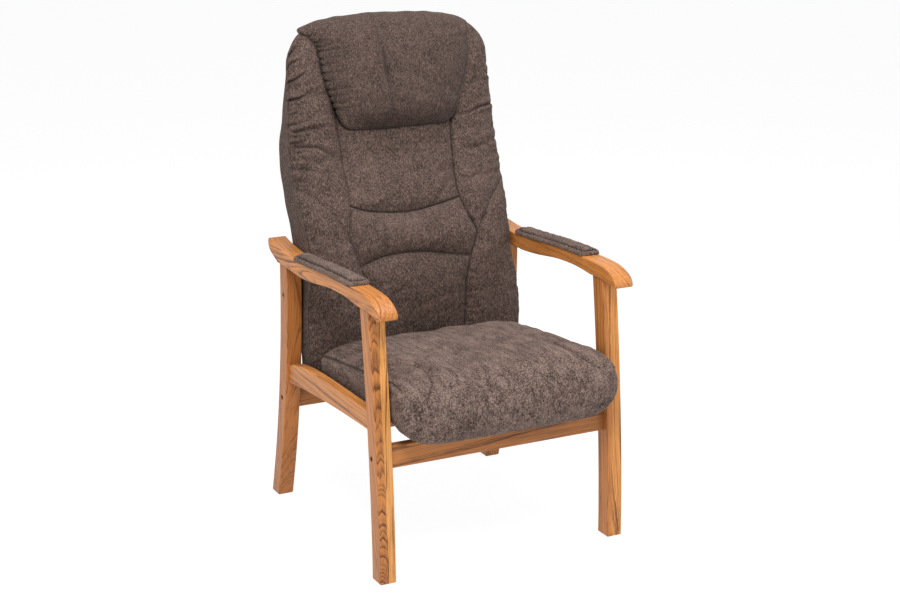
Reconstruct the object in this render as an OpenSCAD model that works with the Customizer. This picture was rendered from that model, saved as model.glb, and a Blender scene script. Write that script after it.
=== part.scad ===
// Fireside chair: an oak frame with a high upholstered back and a sprung seat.
// The chair faces -Y, +X is to the right seen from the front, and Z is up.
// The origin is on the floor, under the middle of the whole chair's outline.

/* [Legs] */
// Width over the outer faces of the legs
frame_w = 640; // [610:5:680]
// Width of a leg, seen from the front
leg_w = 40; // [36:1:44]
// Depth of a leg, seen from the side
leg_d = 43; // [40:1:50]
// Height of a front leg's top above the floor
front_leg_h = 631; // [615:1:650]
// Height of a rear leg's top above the floor
rear_leg_h = 624; // [610:1:640]
// How far the top of a front leg lies behind its foot
front_lean = 50; // [30:1:60]
// How far the foot of a rear leg lies behind its top
rear_splay = 93; // [60:1:100]
// From the front of the front feet to the front of the rear legs' tops
leg_spacing = 521; // [505:1:535]
// Thickness of the glide under a foot
glide_t = 3; // [2:0.5:5]
// Diameter of the glide under a foot
glide_d = 26; // [20:1:32]

/* [Rails] */
// Thickness of the rails
rail_t = 24; // [20:1:28]
// Height of the front rail
front_rail_h = 53; // [45:1:60]
// Height of the front rail's lower edge above the floor
front_rail_z = 266; // [250:1:275]
// Height of the rear rail
rear_rail_h = 54; // [45:1:60]
// Height of the rear rail's lower edge above the floor
rear_rail_z = 250; // [240:1:262]
// How far a side rail stands in from the outer face of the legs
side_rail_inset = 8; // [6:1:10]
// Height of a side rail at the front leg
side_rail_h = 45; // [40:1:50]
// Height of the side rails' upper edge at the front legs
side_rail_top_z = 393; // [385:1:400]
// How far the upper edge of a side rail drops to the rear leg
side_rail_drop = 29; // [22:1:34]
// How far the lower edge of a side rail drops to the rear leg
side_rail_belly = 26; // [20:1:30]
// Width of the cleat that carries the seat
cleat_w = 44; // [40:1:48]
// Height of the cleat that carries the seat
cleat_h = 18; // [14:1:20]

/* [Arms] */
// Width of an arm, seen from above
arm_w = 49; // [46:1:54]
// How far an arm stands out past the outer face of the legs
arm_overhang = 5; // [3:1:8]
// Length of an arm
arm_len = 641; // [635:1:655]
// How far an arm reaches in front of the feet
arm_reach = 15; // [10:1:20]
// Thickness of an arm
arm_t = 33; // [30:1:36]
// Width of an arm pad
pad_w = 54; // [52:1:58]
// Length of an arm pad
pad_len = 334; // [300:1:345]
// From the front of an arm to the front of its pad
pad_start = 146; // [140:1:170]
// Thickness of an arm pad in its middle
pad_t = 14; // [11:1:18]
// Thickness of the board in an arm pad
pad_board_t = 3; // [2:0.5:4]

/* [Seat] */
// Gap between the side of the seat and the inner face of the legs
seat_leg_gap = 7; // [5:1:12]
// Length of the seat from its rear face to its nose
seat_len = 508; // [500:1:520]
// Height of the seat from its frame's underside to its crown
seat_h = 112; // [105:1:118]
// Height of the seat frame's underside at the rear of the seat
seat_base_z = 346; // [343:1:350]
// From the front feet to the rear face of the seat
seat_rear_y = 431; // [428:1:432]
// Tilt of the seat's underside, in degrees
seat_tilt = 3; // [2.5:0.5:3.5]
// Thickness of the seat cover with its wadding
cover_t = 8; // [6:1:9]
// Width of the seat frame's members
seat_member_w = 28; // [22:1:32]
// Height of the seat frame's members
seat_member_h = 32; // [28:1:36]

/* [Back] */
// Height of the back from its lower edge to its top
back_h = 850; // [830:1:870]
// Height of the back's lower edge above the floor
back_base_z = 350; // [346:1:354]
// How far the widest part of the back reaches past the inner face of the legs
back_overlap = 12; // [8:1:14]
// From the front of the back's foot to its rearmost point
back_reach = 246; // [235:1:255]
// From the front feet to the front of the back's foot
back_front_y = 426; // [424:1:430]
// Radius of the back's upper corners, seen from the front
back_corner_r = 88; // [70:1:100]
// How far the back's upper edge falls from its middle to its sides
top_crown = 26; // [15:1:35]
// Thickness of the shaped sides of the back's frame
back_side_t = 18; // [15:1:20]
// Width of the cross rails of the back's frame
back_rail_w = 70; // [50:1:80]
// Thickness of the rear cover
rear_cover_t = 4; // [3:0.5:5]
// Half the width of the head pillow at its top
pillow_half_w = 205; // [195:1:212]
// Height of the head pillow
pillow_h = 272; // [255:1:280]
// Thickness of the head pillow
pillow_t = 46; // [35:1:55]

/* [Fasteners] */
// Diameter of the bolts through the legs
bolt_d = 6; // [5:0.5:7]
// Diameter of the bolt heads
bolt_head_d = 11; // [10:0.5:12]
// Height of a bolt head
bolt_head_h = 5; // [4:0.5:6]
// Depth of the sunk hole over a rail bolt's seat
bolt_sink = 12; // [8:1:14]
// From the top of a rear leg down to the bolt that holds the back
back_bolt_drop = 77; // [69:1:89]
// Diameter of the barrel nuts
barrel_d = 10; // [9:0.5:12]
// Diameter of the dowels
dowel_d = 10; // [8:1:12]
// Length of the dowels
dowel_len = 50; // [40:1:60]
// Diameter of the wood screws
screw_d = 4; // [3.5:0.5:5]
// Diameter of the wood screws' heads
screw_head_d = 8; // [7:0.5:9]
// Diameter of the wire of the seat springs
wire_d = 3.8; // [3:0.2:4.5]

/* [Hidden] */

oak = [0.80, 0.58, 0.36];
velour = [0.42, 0.36, 0.33];
foam_colour = [0.93, 0.88, 0.70];
plywood = [0.86, 0.75, 0.55];
steel = [0.72, 0.73, 0.75];
black_cloth = [0.12, 0.12, 0.13];
black_plastic = [0.10, 0.10, 0.10];

// Overrun of a cut past a face, and the gap between a soft piece and its neighbour
cut = 1;
soft_gap = 0.3;
hole_gap = 0.3;
$fn = 32;

leg_x = frame_w / 2 - leg_w;
seat_half_w = leg_x - seat_leg_gap;
back_half_w = leg_x + back_overlap;
back_bolt_z = rear_leg_h - back_bolt_drop;
leg_steps = 12;
leg_front_bow = 1.7;
leg_rear_bow = 2;

// Front face of a front leg and of a rear leg, at a height
function front_line(z) = front_lean * pow(max(z, 0) / front_leg_h, leg_front_bow);
function rear_line(z) = leg_spacing + rear_splay * pow(1 - min(z, rear_leg_h) / rear_leg_h, leg_rear_bow);

// Rows of a table are [share along, values ...]; smooth() reads a value between the rows
function row_at(table, t, i = 0) =
    i >= len(table) - 2 || t < table[i + 1][0] ? i : row_at(table, t, i + 1);
function row_slope(table, i, c) =
    let (a = max(i - 1, 0), b = min(i + 1, len(table) - 1))
    (table[b][c] - table[a][c]) / (table[b][0] - table[a][0]);
function smooth(table, t, c) =
    let (
        i = row_at(table, t),
        d = table[i + 1][0] - table[i][0],
        u = (t - table[i][0]) / d,
        rise = table[i + 1][c] - table[i][c],
        s0 = row_slope(table, i, c) * d,
        s1 = row_slope(table, i + 1, c) * d
    )
    table[i][c] + s0 * u + (3 * rise - 2 * s0 - s1) * u * u + (s0 + s1 - 2 * rise) * u * u * u;
function mix(a, b, u) = a + (b - a) * u;
function ramp(u) = min(1, max(0, u));
function total(v, i = 0) = i < len(v) ? v[i] + total(v, i + 1) : 0;
function flatten(lists) = [for (l = lists) for (p = l) p];
function reversed(v) = [for (i = [len(v) - 1 : -1 : 0]) v[i]];

// Middle of a ring of points
function ring_middle(ring) = [for (k = [0 : 2]) total([for (p = ring) p[k]]) / len(ring)];

// Solid through closed rings with equal numbers of points; a fan of triangles closes each end
module loft(rings) {
    n = len(rings[0]);
    m = len(rings);
    points = concat(flatten(rings), [ring_middle(rings[0]), ring_middle(rings[m - 1])]);
    walls = [
        for (i = [0 : m - 2], j = [0 : n - 1])
            let (a = i * n + j, b = i * n + (j + 1) % n)
            each [[a, b + n, b], [a, a + n, b + n]]
    ];
    first_end = [for (j = [0 : n - 1]) [m * n, j, (j + 1) % n]];
    last_end = [for (j = [0 : n - 1]) [m * n + 1, (m - 1) * n + (j + 1) % n, (m - 1) * n + j]];
    polyhedron(points, concat(walls, first_end, last_end));
}

// An outline in the side view, [y, z], given a width along X
module side_board(width) rotate([90, 0, 90]) linear_extrude(width) children();
// Rods along X and Y, from the point where they start
module rod_x(d, len) rotate([0, 90, 0]) cylinder(d = d, h = len);
module rod_y(d, len) rotate([-90, 0, 0]) cylinder(d = d, h = len);
// The right side is drawn; the left side is its mirror image
module on_side(side) {
    if (side == "right") children();
    else mirror([1, 0, 0]) children();
}
module both_sides() {
    children();
    mirror([1, 0, 0]) children();
}

// Places that several pieces share
leg_mid_x = frame_w / 2 - leg_w / 2;
front_top_y = front_line(front_leg_h);
rail_setback = 15;
front_bolt_z = front_rail_z + front_rail_h / 2;
rear_bolt_z = rear_rail_z + rear_rail_h / 2;
front_rail_y = front_line(front_bolt_z) + rail_setback;
rear_rail_y = rear_line(rear_bolt_z) + (leg_d - rail_t) / 2;
front_bolt_y = front_rail_y + rail_t / 2;
rear_bolt_y = rear_rail_y + rail_t / 2;
barrel_in = 30;
bolt_past_barrel = 6;
side_rail_x = frame_w / 2 - side_rail_inset - rail_t;

// Outline of a leg in the side view, along its front line and back down its rear face
function leg_outline(top, front) =
    let (
        heights = [for (i = [0 : leg_steps]) mix(glide_t, top, i / leg_steps)],
        line = [for (z = heights) [front ? front_line(z) : rear_line(z), z]]
    )
    concat(line, [for (p = reversed(line)) p + [leg_d, 0]]);

module leg_blank(front)
    translate([leg_x, 0, 0]) side_board(leg_w) polygon(leg_outline(front ? front_leg_h : rear_leg_h, front));

// A clearance hole through a leg with a sunk hole for the bolt's head
module leg_bolt_hole(y, z, sink) {
    translate([leg_x - cut, y, z]) rod_x(bolt_d + 2 * hole_gap, leg_w + 2 * cut);
    translate([frame_w / 2 - sink, y, z]) rod_x(bolt_head_d + 2 * hole_gap, sink + cut);
}

// Two dowels side by side across the top of each leg
arm_dowel_step = leg_w / 4;
module leg_dowels(y, z, gap) {
    for (dx = [-arm_dowel_step, arm_dowel_step])
        translate([leg_mid_x + dx, y + leg_d / 2, z - dowel_len / 2 - gap / 2])
            cylinder(d = dowel_d + gap, h = dowel_len + gap);
}
module arm_dowel_set(gap) {
    leg_dowels(front_top_y, front_leg_h, gap);
    leg_dowels(leg_spacing, rear_leg_h, gap);
}

// The side rail's edges in the side view, at a share of its length from the front
side_rail_start = front_line(side_rail_top_z) + leg_d / 2;
side_rail_end = rear_line(side_rail_top_z) + leg_d / 2;
side_rail_run = side_rail_end - side_rail_start;
rail_steps = 12;
rail_bow = 7;
belly_bow = 2;
function rail_top(s) = side_rail_top_z - side_rail_drop * pow(s, rail_bow);
function rail_under(s) = side_rail_top_z - side_rail_h - side_rail_belly * pow(s, belly_bow);
rail_front_mid_z = side_rail_top_z - side_rail_h / 2;
rail_dowel_share = 1 - (leg_d + dowel_len) / 2 / side_rail_run;
rail_rear_mid_z = (rail_top(rail_dowel_share) + rail_under(rail_dowel_share)) / 2;
rail_dowel_step = side_rail_h / 4;
module rail_dowel_set(gap) {
    for (dz = [-rail_dowel_step, rail_dowel_step]) {
        front_z = rail_front_mid_z + dz;
        rear_z = rail_rear_mid_z + dz;
        half = (dowel_len + gap) / 2;
        translate([side_rail_x + rail_t / 2, front_line(front_z) + leg_d - half, front_z])
            rod_y(dowel_d + gap, dowel_len + gap);
        translate([side_rail_x + rail_t / 2, rear_line(rear_z) - half, rear_z])
            rod_y(dowel_d + gap, dowel_len + gap);
    }
}

// The back's bolts go through the rear legs into the shaped sides of its frame
back_bolt_recess = 2;
back_bolt_y = rear_line(back_bolt_z) + leg_d / 2;
back_bolt_sink = bolt_head_h + back_bolt_recess;

// Arm in the side view. Shares run along the arm from its front, and up in arm thicknesses
// from a line that joins the tops of the two legs.
arm_top_share = [
    [0.000, -0.13], [0.006, 0.21], [0.026, 0.545], [0.053, 0.79], [0.094, 1.00], [0.164, 1.115],
    [0.257, 1.155], [0.353, 1.155], [0.454, 1.105], [0.574, 0.99], [0.663, 0.925], [0.740, 0.918],
    [0.825, 1.02], [0.903, 1.19], [0.959, 1.37], [0.998, 1.55]
];
arm_tail_share = [[1.000, 1.16], [0.989, 0.76], [0.964, 0.45], [0.931, 0.21]];
arm_middle_share = [
    [0.740, -0.14], [0.672, -0.19], [0.572, -0.08], [0.479, 0.11], [0.404, 0.23], [0.289, 0.24]
];
arm_nose_share = [[0.047, -0.145], [0.016, -0.29], [0.003, -0.26]];
arm_seat_margin = 4;
function arm_base(y) = mix(front_leg_h, rear_leg_h, (y - front_top_y) / (leg_spacing - front_top_y));
function arm_points(table) = [
    for (s = table) let (y = s[0] * arm_len - arm_reach) [y, arm_base(y) + s[1] * arm_t]
];
function arm_seat(y, z) = [[y + leg_d + arm_seat_margin, z], [y - arm_seat_margin, z]];
arm_outline = concat(
    arm_points(arm_top_share),
    arm_points(arm_tail_share),
    arm_seat(leg_spacing, rear_leg_h),
    arm_points(arm_middle_share),
    arm_seat(front_top_y, front_leg_h),
    arm_points(arm_nose_share)
);
function arm_top(y) = smooth(arm_top_share, (y + arm_reach) / arm_len, 1) * arm_t + arm_base(y);
arm_x = frame_w / 2 + arm_overhang - arm_w;
arm_mid_x = arm_x + arm_w / 2;
module arm_blank() translate([arm_x, 0, 0]) side_board(arm_w) polygon(arm_outline);

// Screws that hold the pad's board through the arm
pad_front_y = pad_start - arm_reach;
pad_screw_share = [0.2, 0.8];
pad_screw_sink = 12;
pad_screw_bite = 2;
module pad_screw_holes() {
    for (s = pad_screw_share) {
        y = pad_front_y + s * pad_len;
        translate([arm_mid_x, y, arm_base(y) - arm_t])
            cylinder(d = screw_d + 2 * hole_gap, h = 2 * arm_t + pad_t);
        translate([arm_mid_x, y, arm_base(y) - arm_t])
            cylinder(d = screw_head_d + 2 * hole_gap, h = arm_t + pad_screw_sink);
    }
}

// Everything of the seat is set out on the tilted underside of its frame: X across,
// -Y forward from the rear face, Z up from the frame's underside.
module on_seat() translate([0, seat_rear_y, seat_base_z]) rotate([-seat_tilt, 0, 0]) children();
function seat_world(p) = [
    p[0],
    seat_rear_y + p[1] * cos(seat_tilt) + p[2] * sin(seat_tilt),
    seat_base_z - p[1] * sin(seat_tilt) + p[2] * cos(seat_tilt)
];

// Side view of the seat: shares of its length forward and of its height, first on the
// centre line and then at the side seam. It runs from the rear underside over the top.
seat_outline_share = [
    [0.000, 0.00, 0.000, 0.00], [0.000, 0.30, 0.000, 0.20], [0.000, 0.60, 0.000, 0.40],
    [0.014, 0.77, 0.005, 0.47], [0.070, 0.88, 0.070, 0.46], [0.170, 0.955, 0.170, 0.44],
    [0.260, 0.985, 0.250, 0.46], [0.360, 1.00, 0.340, 0.50], [0.460, 1.00, 0.430, 0.555],
    [0.560, 1.00, 0.520, 0.615], [0.660, 0.995, 0.610, 0.68], [0.750, 0.985, 0.690, 0.73],
    [0.830, 0.95, 0.760, 0.765], [0.900, 0.87, 0.820, 0.755], [0.955, 0.72, 0.870, 0.69],
    [0.987, 0.53, 0.905, 0.58], [1.000, 0.33, 0.925, 0.43], [0.997, 0.12, 0.930, 0.27],
    [0.982, -0.09, 0.920, 0.13], [0.955, -0.27, 0.900, 0.04], [0.915, -0.37, 0.870, 0.00],
    [0.875, -0.35, 0.845, -0.01], [0.835, -0.20, 0.815, -0.01], [0.800, 0.00, 0.800, 0.00],
    [0.530, 0.00, 0.530, 0.00], [0.260, 0.00, 0.260, 0.00]
];
crown_bow = 9;
crown_fall = 0.5;
droop_bow = 2.2;
function crown(s, drooping) =
    pow(max(1 - pow(abs(s), crown_bow), 0), crown_fall * (drooping ? droop_bow : 1));
// In front of the legs the seat swells sideways
nose_swell = 4;
swell_start_share = 0.80;
swell_run_share = 0.12;
function swell(v) = nose_swell * ramp((v - swell_start_share) / swell_run_share);
// Stations across the seat, and how far the outline draws in at each near the side
seat_edge_r = 9;
seat_station_share = [0, 0.16, 0.32, 0.48, 0.62, 0.74, 0.83, 0.90, 0.95, 0.98, 0.995, 1];
seat_draw_share = [0, 0, 0, 0, 0, 0, 0, 0, 0, 0.15, 0.5, 1];
seat_coarse_share = [0, 0.3, 0.55, 0.75, 0.88, 0.96, 1];
seat_coarse_draw_share = [0, 0, 0, 0, 0, 0, 0.5];
function inset_share(v, size, inset) = 0.5 + (v - 0.5) * (1 - 2 * inset / size);
function seat_ring(s, draw, inset) = [
    for (p = seat_outline_share)
        let (
            c = crown(s, p[1] < p[3]),
            v = mix(p[2], p[0], c),
            h = mix(p[3], p[1], c),
            in = inset + draw * seat_edge_r
        )
        [
            s * (seat_half_w - inset + swell(v)),
            -inset_share(v, seat_len, in) * seat_len,
            inset_share(h, seat_h, in) * seat_h
        ]
];
function mirrored_rings(shares, draws, inset) =
    let (last = len(shares) - 1)
    concat(
        [for (i = [last : -1 : 1]) seat_ring(-shares[i], draws[i], inset)],
        [for (i = [0 : last]) seat_ring(shares[i], draws[i], inset)]
    );
seat_rings = mirrored_rings(seat_station_share, seat_draw_share, 0);
module seat_inner(inset) loft(mirrored_rings(seat_coarse_share, seat_coarse_draw_share, inset));

// The seat frame, its springs and what they leave for the foam
seat_frame_front_share = 0.8;
frame_gap = cover_t + soft_gap;
seat_frame_x = seat_half_w - cover_t - soft_gap;
seat_frame_len = seat_len * seat_frame_front_share - frame_gap;
clip_t = 2;
clip_lip = 1.2;
clip_w = 16;
spring_floor = seat_member_h + clip_t;
foam_floor = spring_floor + wire_d + clip_lip + 2 * soft_gap;
spring_count = 5;
spring_step = 2 * (seat_frame_x - seat_member_w) / spring_count;
spring_swing = 20;
spring_waves = 6;
spring_points = 8;
function spring_x(i) = (i - (spring_count - 1) / 2) * spring_step;

// Back rows: share of its height, then half widths at the seam and at the widest as shares of
// back_half_w, the seam, the front and the rear as shares of back_reach, the half width of the
// centre panel as a share of back_half_w, and how far its seams sag as a share of the panel.
back_row_share = [
    [0.000, 0.931, 0.962, 0.220, 0.080, 0.606, 0.55, 0],
    [0.101, 0.944, 1.000, 0.211, 0.045, 0.618, 0.55, 0],
    [0.212, 0.944, 0.990, 0.252, 0.047, 0.650, 0.57, -0.05],
    [0.312, 0.944, 0.944, 0.300, 0.057, 0.707, 0.60, -0.13],
    [0.382, 0.944, 0.944, 0.362, 0.106, 0.760, 0.64, -0.02],
    [0.453, 0.951, 0.953, 0.455, 0.211, 0.862, 0.56, 0.12],
    [0.524, 0.959, 0.963, 0.569, 0.346, 0.947, 0.52, 0.04],
    [0.588, 0.962, 0.967, 0.667, 0.459, 0.990, 0.51, 0],
    [0.653, 0.957, 0.963, 0.728, 0.533, 0.994, 0.51, 0],
    [0.724, 0.947, 0.953, 0.748, 0.585, 0.960, 0.52, 0],
    [0.794, 0.935, 0.941, 0.752, 0.634, 0.905, 0.54, 0],
    [0.865, 0.925, 0.929, 0.764, 0.667, 0.858, 0.56, 0],
    [0.929, 0.921, 0.923, 0.776, 0.700, 0.832, 0.56, 0],
    [1.000, 0.921, 0.923, 0.789, 0.720, 0.821, 0.56, 0]
];
function back_z(t) = back_base_z + t * back_h;
function back_y(share) = back_front_y + share * back_reach;
function round_off(d, r) = d > 0 ? sqrt(max(1 - pow(min(d / r, 1), 2), 0)) : 1;
// How much of the thickness is left near the lower and the upper edge
back_edge_r = 26;
edge_left_share = 0.35;
function back_edge(z) = max(
    edge_left_share,
    min(
        round_off(z - (back_base_z + back_h - back_edge_r), back_edge_r),
        round_off(back_base_z + back_edge_r - z, back_edge_r)
    )
);
// The upper corners are round in the front view
function corner_inset(z) =
    back_corner_r * (1 - round_off(z - (back_base_z + back_h - back_corner_r), back_corner_r));
crown_start_share = 0.7;
function crown_rise(t) = pow(max(0, t - crown_start_share) / (1 - crown_start_share), 2);
// Height of a point of the back at a distance from the middle, at a level
function level_z(x, t) = back_z(t) - top_crown * pow(x / back_half_w, 2) * crown_rise(t);
function seam_w(t) = smooth(back_row_share, t, 1) * back_half_w - corner_inset(back_z(t));
function widest(t) = smooth(back_row_share, t, 2) * back_half_w - corner_inset(back_z(t));
function seam_y(t) = back_y(smooth(back_row_share, t, 3));
function front_y(t) = mix(seam_y(t), back_y(smooth(back_row_share, t, 4)), back_edge(back_z(t)));
function rear_y(t) = mix(seam_y(t), back_y(smooth(back_row_share, t, 5)), back_edge(back_z(t)));

// Sewn channels and the pads between them, in the front of the back
channel_d = 7;
roll_d = 11;
lower_pad_d = 6;
lumbar_low_share = 0.333;
lumbar_high_share = 0.455;
panel_low_share = 0.14;
panel_high_share = 0.70;
channel_w_share = 0.018;
seam_spread = 2;
fade_share = 0.05;
bump_fall = 0.8;
panel_bow = 4;
function bump(u) = u <= 0 || u >= 1 ? 0 : pow(sin(180 * u), bump_fall);
function groove(d) = exp(-pow(d / channel_w_share, 2));
function fade(t) = ramp((t - panel_low_share) / fade_share) * ramp((panel_high_share - t) / fade_share);
function back_relief(x_share, t) =
    let (
        panel = smooth(back_row_share, t, 6),
        inside = max(0, 1 - pow(abs(x_share) / panel, panel_bow)),
        roll = bump((t - lumbar_low_share) / (lumbar_high_share - lumbar_low_share)),
        pad = bump((t - panel_low_share) / (lumbar_low_share - panel_low_share)),
        cross = groove(t - lumbar_low_share) + groove(t - lumbar_high_share)
    )
    fade(t) * channel_d * (groove((abs(x_share) - panel) / seam_spread) + (inside > 0 ? cross : 0))
        - inside * (roll * roll_d + pad * lower_pad_d);

// Stations over the front, each side from the widest point to the panel seam, then the panel
side_station_share = [0, 0.05, 0.18, 0.44, 0.78];
panel_station_share = [-1, -0.92, -0.7, -0.4, 0, 0.4, 0.7, 0.92, 1];
function front_stations(panel) = concat(
    [for (u = side_station_share) -mix(1, panel, u)],
    [for (u = panel_station_share) u * panel],
    [for (u = reversed(side_station_share)) mix(1, panel, u)]
);
coarse_station_share = [-1, -0.94, -0.8, -0.45, 0, 0.45, 0.8, 0.94, 1];
cushion_bow = 4;
side_round = [[0, 0], [0.35, 0.5], [0.75, 0.9]];
widest_share = 0.45;
least_depth = 1;
// Between its seams the panel sags, and the sag runs out towards the sides
function sag_at(a, panel, sag) = sag * ramp(pow(a / panel, 2)) * (1 - ramp((a - panel) / (1 - panel)));
// A ring around the back's front cover, from its left seam over the front to its right seam
function back_ring(t, stations, inset, relief, rear) =
    let (
        w = seam_w(t) - inset,
        wide = max(widest(t) - inset, w),
        ys = seam_y(t),
        yf = min(front_y(t) + inset, ys - least_depth),
        yw = mix(ys, yf, widest_share),
        panel = smooth(back_row_share, t, 6),
        sag = smooth(back_row_share, t, 7) * panel * back_half_w,
        side = [for (p = side_round) [mix(w, wide, p[1]), mix(ys, yw, p[0])]],
        front = [
            for (s = stations)
                let (
                    bulge = (yw - yf) * sqrt(max(0, 1 - pow(abs(s), cushion_bow))),
                    sewn = relief ? back_relief(s, t) : 0
                )
                [s * wide, yw - bulge + sewn, level_z(s * wide, t) + sag_at(abs(s), panel, sag)]
        ]
    )
    concat(
        [for (p = side) [-p[0], p[1], level_z(p[0], t)]],
        front,
        [for (p = reversed(side)) [p[0], p[1], level_z(p[0], t)]],
        rear == 0 ? [] : [for (k = [1, -1]) [k * w, ys + rear, level_z(w, t)]]
    );

// Heights of the rings, as shares of the back's height: fine for the covers, coarse inside
back_level_share = [
    0, 0.006, 0.018, 0.04, 0.08, 0.13, 0.18, 0.23, 0.28, 0.315, 0.333, 0.351, 0.38, 0.41, 0.437,
    0.455, 0.473, 0.50, 0.54, 0.58, 0.63, 0.68, 0.73, 0.78, 0.83, 0.88, 0.915, 0.945, 0.97, 0.985,
    0.994, 1
];
back_coarse_share = [
    0.012, 0.05, 0.12, 0.19, 0.26, 0.33, 0.40, 0.46, 0.53, 0.60, 0.67, 0.74, 0.81, 0.88, 0.93,
    0.965, 0.985
];
strap_count = 5;
strap_t = 1.6;
back_cover_t = cover_t + channel_d / 2;
module back_form(grow) loft([
    for (t = back_level_share)
        back_ring(t, front_stations(smooth(back_row_share, t, 6)), -grow, true, grow)
]);
module back_inner(inset, rear) loft([
    for (t = back_coarse_share) back_ring(t, coarse_station_share, inset, false, rear)
]);

// A ring around the rear cover, from its left seam over the rear to its right seam
rear_corner_r = 20;
rear_corner_share = 0.8;
rear_draw = 3;
function rear_ring(t, inset, front) =
    let (
        w = seam_w(t) - inset,
        ys = seam_y(t) - front,
        yr = max(rear_y(t) - inset, seam_y(t) + least_depth),
        r = min(rear_corner_r - inset, (yr - seam_y(t)) * rear_corner_share),
        turn = r * (1 - cos(45)),
        half = [
            [w, ys],
            [w - rear_draw, (seam_y(t) + yr - r) / 2],
            [w - rear_draw, yr - r],
            [w - rear_draw - turn, yr - turn],
            [w - rear_draw - r, yr]
        ]
    )
    concat(
        [for (p = half) [p[0], p[1], level_z(p[0], t)]],
        [for (p = reversed(half)) [-p[0], p[1], level_z(p[0], t)]]
    );
rear_rings = [for (t = back_level_share) rear_ring(t, 0, -soft_gap)];

// Where the whole chair starts and ends from front to back; the origin lies midway
nose_y = min([for (p = flatten(seat_rings)) seat_world(p)[1]]);
tail_y = max([for (p = flatten(rear_rings)) p[1]]);
module placed() translate([0, -(nose_y + tail_y) / 2, 0]) children();

// The back's frame
back_frame_share = 0.885;
back_frame_x = back_half_w * back_frame_share;
back_frame_low_share = 0.05;
back_frame_top_share = 0.88;
frame_front_gap = strap_t + 2 * soft_gap;
frame_rear_wrap = 6;
frame_rear_gap = rear_cover_t + frame_rear_wrap;
back_frame_levels = [
    for (t = back_coarse_share) if (t >= back_frame_low_share && t <= back_frame_top_share) t
];
back_side_outline = concat(
    [for (t = back_frame_levels) [seam_y(t) + frame_front_gap, back_z(t)]],
    [for (t = reversed(back_frame_levels)) [rear_y(t) - frame_rear_gap, back_z(t)]]
);
insert_d = 10;
insert_len = 14;
top_rail_t = 10;
cross_rail_t = 18;
top_rail_share = back_frame_top_share - back_rail_w / back_h / 2;
middle_rail_share = 0.455;
bottom_rail_share = 0.09;

// Head pillow rows: share of its height, half width and thickness as shares
pillow_row_share = [
    [0.00, 0.56, 0.30], [0.03, 0.64, 0.62], [0.08, 0.71, 0.88], [0.16, 0.765, 1.00],
    [0.30, 0.83, 1.04], [0.45, 0.905, 1.00], [0.60, 0.965, 0.94], [0.75, 0.995, 0.86],
    [0.88, 1.00, 0.74], [0.96, 0.97, 0.56], [1.00, 0.90, 0.30]
];
pillow_level_share = [
    0, 0.015, 0.04, 0.08, 0.14, 0.22, 0.32, 0.43, 0.54, 0.65, 0.76, 0.85, 0.92, 0.96, 0.985, 1
];
pillow_station_share = [
    -1, -0.985, -0.94, -0.85, -0.7, -0.5, -0.25, 0, 0.25, 0.5, 0.7, 0.85, 0.94, 0.985, 1
];
pillow_rise = 4;
pillow_bow = 4;
pillow_gap = 0.4;
pillow_tuck = 4;
pillow_base_z = back_base_z + back_h + pillow_rise - pillow_h;
function pillow_ring(u) =
    let (
        z = pillow_base_z + u * pillow_h,
        t = min(1, (z - back_base_z) / back_h),
        w = smooth(pillow_row_share, u, 1) * pillow_half_w,
        thick = smooth(pillow_row_share, u, 2) * pillow_t,
        base = back_y(smooth(back_row_share, t, 4)),
        fall = z - back_z(t)
    )
    concat(
        [
            for (s = pillow_station_share)
                let (edge = sqrt(max(0, 1 - pow(abs(s), pillow_bow))))
                [s * w, base - thick * edge + (1 - edge) * pillow_tuck, level_z(s * w, t) + fall]
        ],
        [for (k = [1, -1]) [k * w, base + 2 * pillow_tuck, level_z(w, t) + fall]]
    );

// Arm pad: shares of its length, and how full it is near its ends
pad_station_share = [
    0, 0.006, 0.025, 0.06, 0.15, 0.27, 0.39, 0.5, 0.61, 0.73, 0.85, 0.94, 0.975, 0.994, 1
];
pad_groove_share = 0.82;
pad_across_share = [
    -1, -0.95, -pad_groove_share, -0.76, -0.45, 0, 0.45, 0.76, pad_groove_share, 0.95, 1
];
pad_bow = 6;
pad_end_r = 9;
pad_skirt = 3;
pad_groove_d = 1.5;
function pad_end(s) =
    let (d = min(s, 1 - s) * pad_len) round_off(pad_end_r - d, pad_end_r);
function pad_ring(s) =
    let (
        y = pad_front_y + s * pad_len,
        e = max(edge_left_share, pad_end(s)),
        w = pad_w / 2 - (1 - e) * pad_end_r / 2
    )
    concat(
        [
            for (a = pad_across_share)
                let (
                    full = sqrt(max(0, 1 - pow(abs(a), pad_bow))),
                    dip = abs(a) == pad_groove_share ? pad_groove_d : 0
                )
                [arm_mid_x + a * w, y, arm_top(y) + full * pad_t * e - dip]
        ],
        [[arm_mid_x + w, y, arm_top(y) - pad_skirt], [arm_mid_x - w, y, arm_top(y) - pad_skirt]]
    );
pad_board_margin = 6;
pad_board_steps = 10;
module pad_board_blank(gap) {
    points = [
        for (i = [0 : pad_board_steps])
            let (y = pad_front_y + mix(pad_board_margin, pad_len - pad_board_margin, i / pad_board_steps))
            [y, arm_top(y)]
    ];
    translate([arm_x + pad_board_margin - gap, 0, 0])
        side_board(arm_w - 2 * pad_board_margin + 2 * gap)
            polygon(concat(
                [for (p = points) p - [0, pad_skirt]],
                [for (p = reversed(points)) p + [0, pad_board_t + gap]]
            ));
}

// Sub-parts

module front_leg(side) color(oak) placed() on_side(side) difference() {
    leg_blank(true);
    leg_bolt_hole(front_bolt_y, front_bolt_z, bolt_sink);
    arm_dowel_set(hole_gap);
    rail_dowel_set(hole_gap);
}

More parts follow.
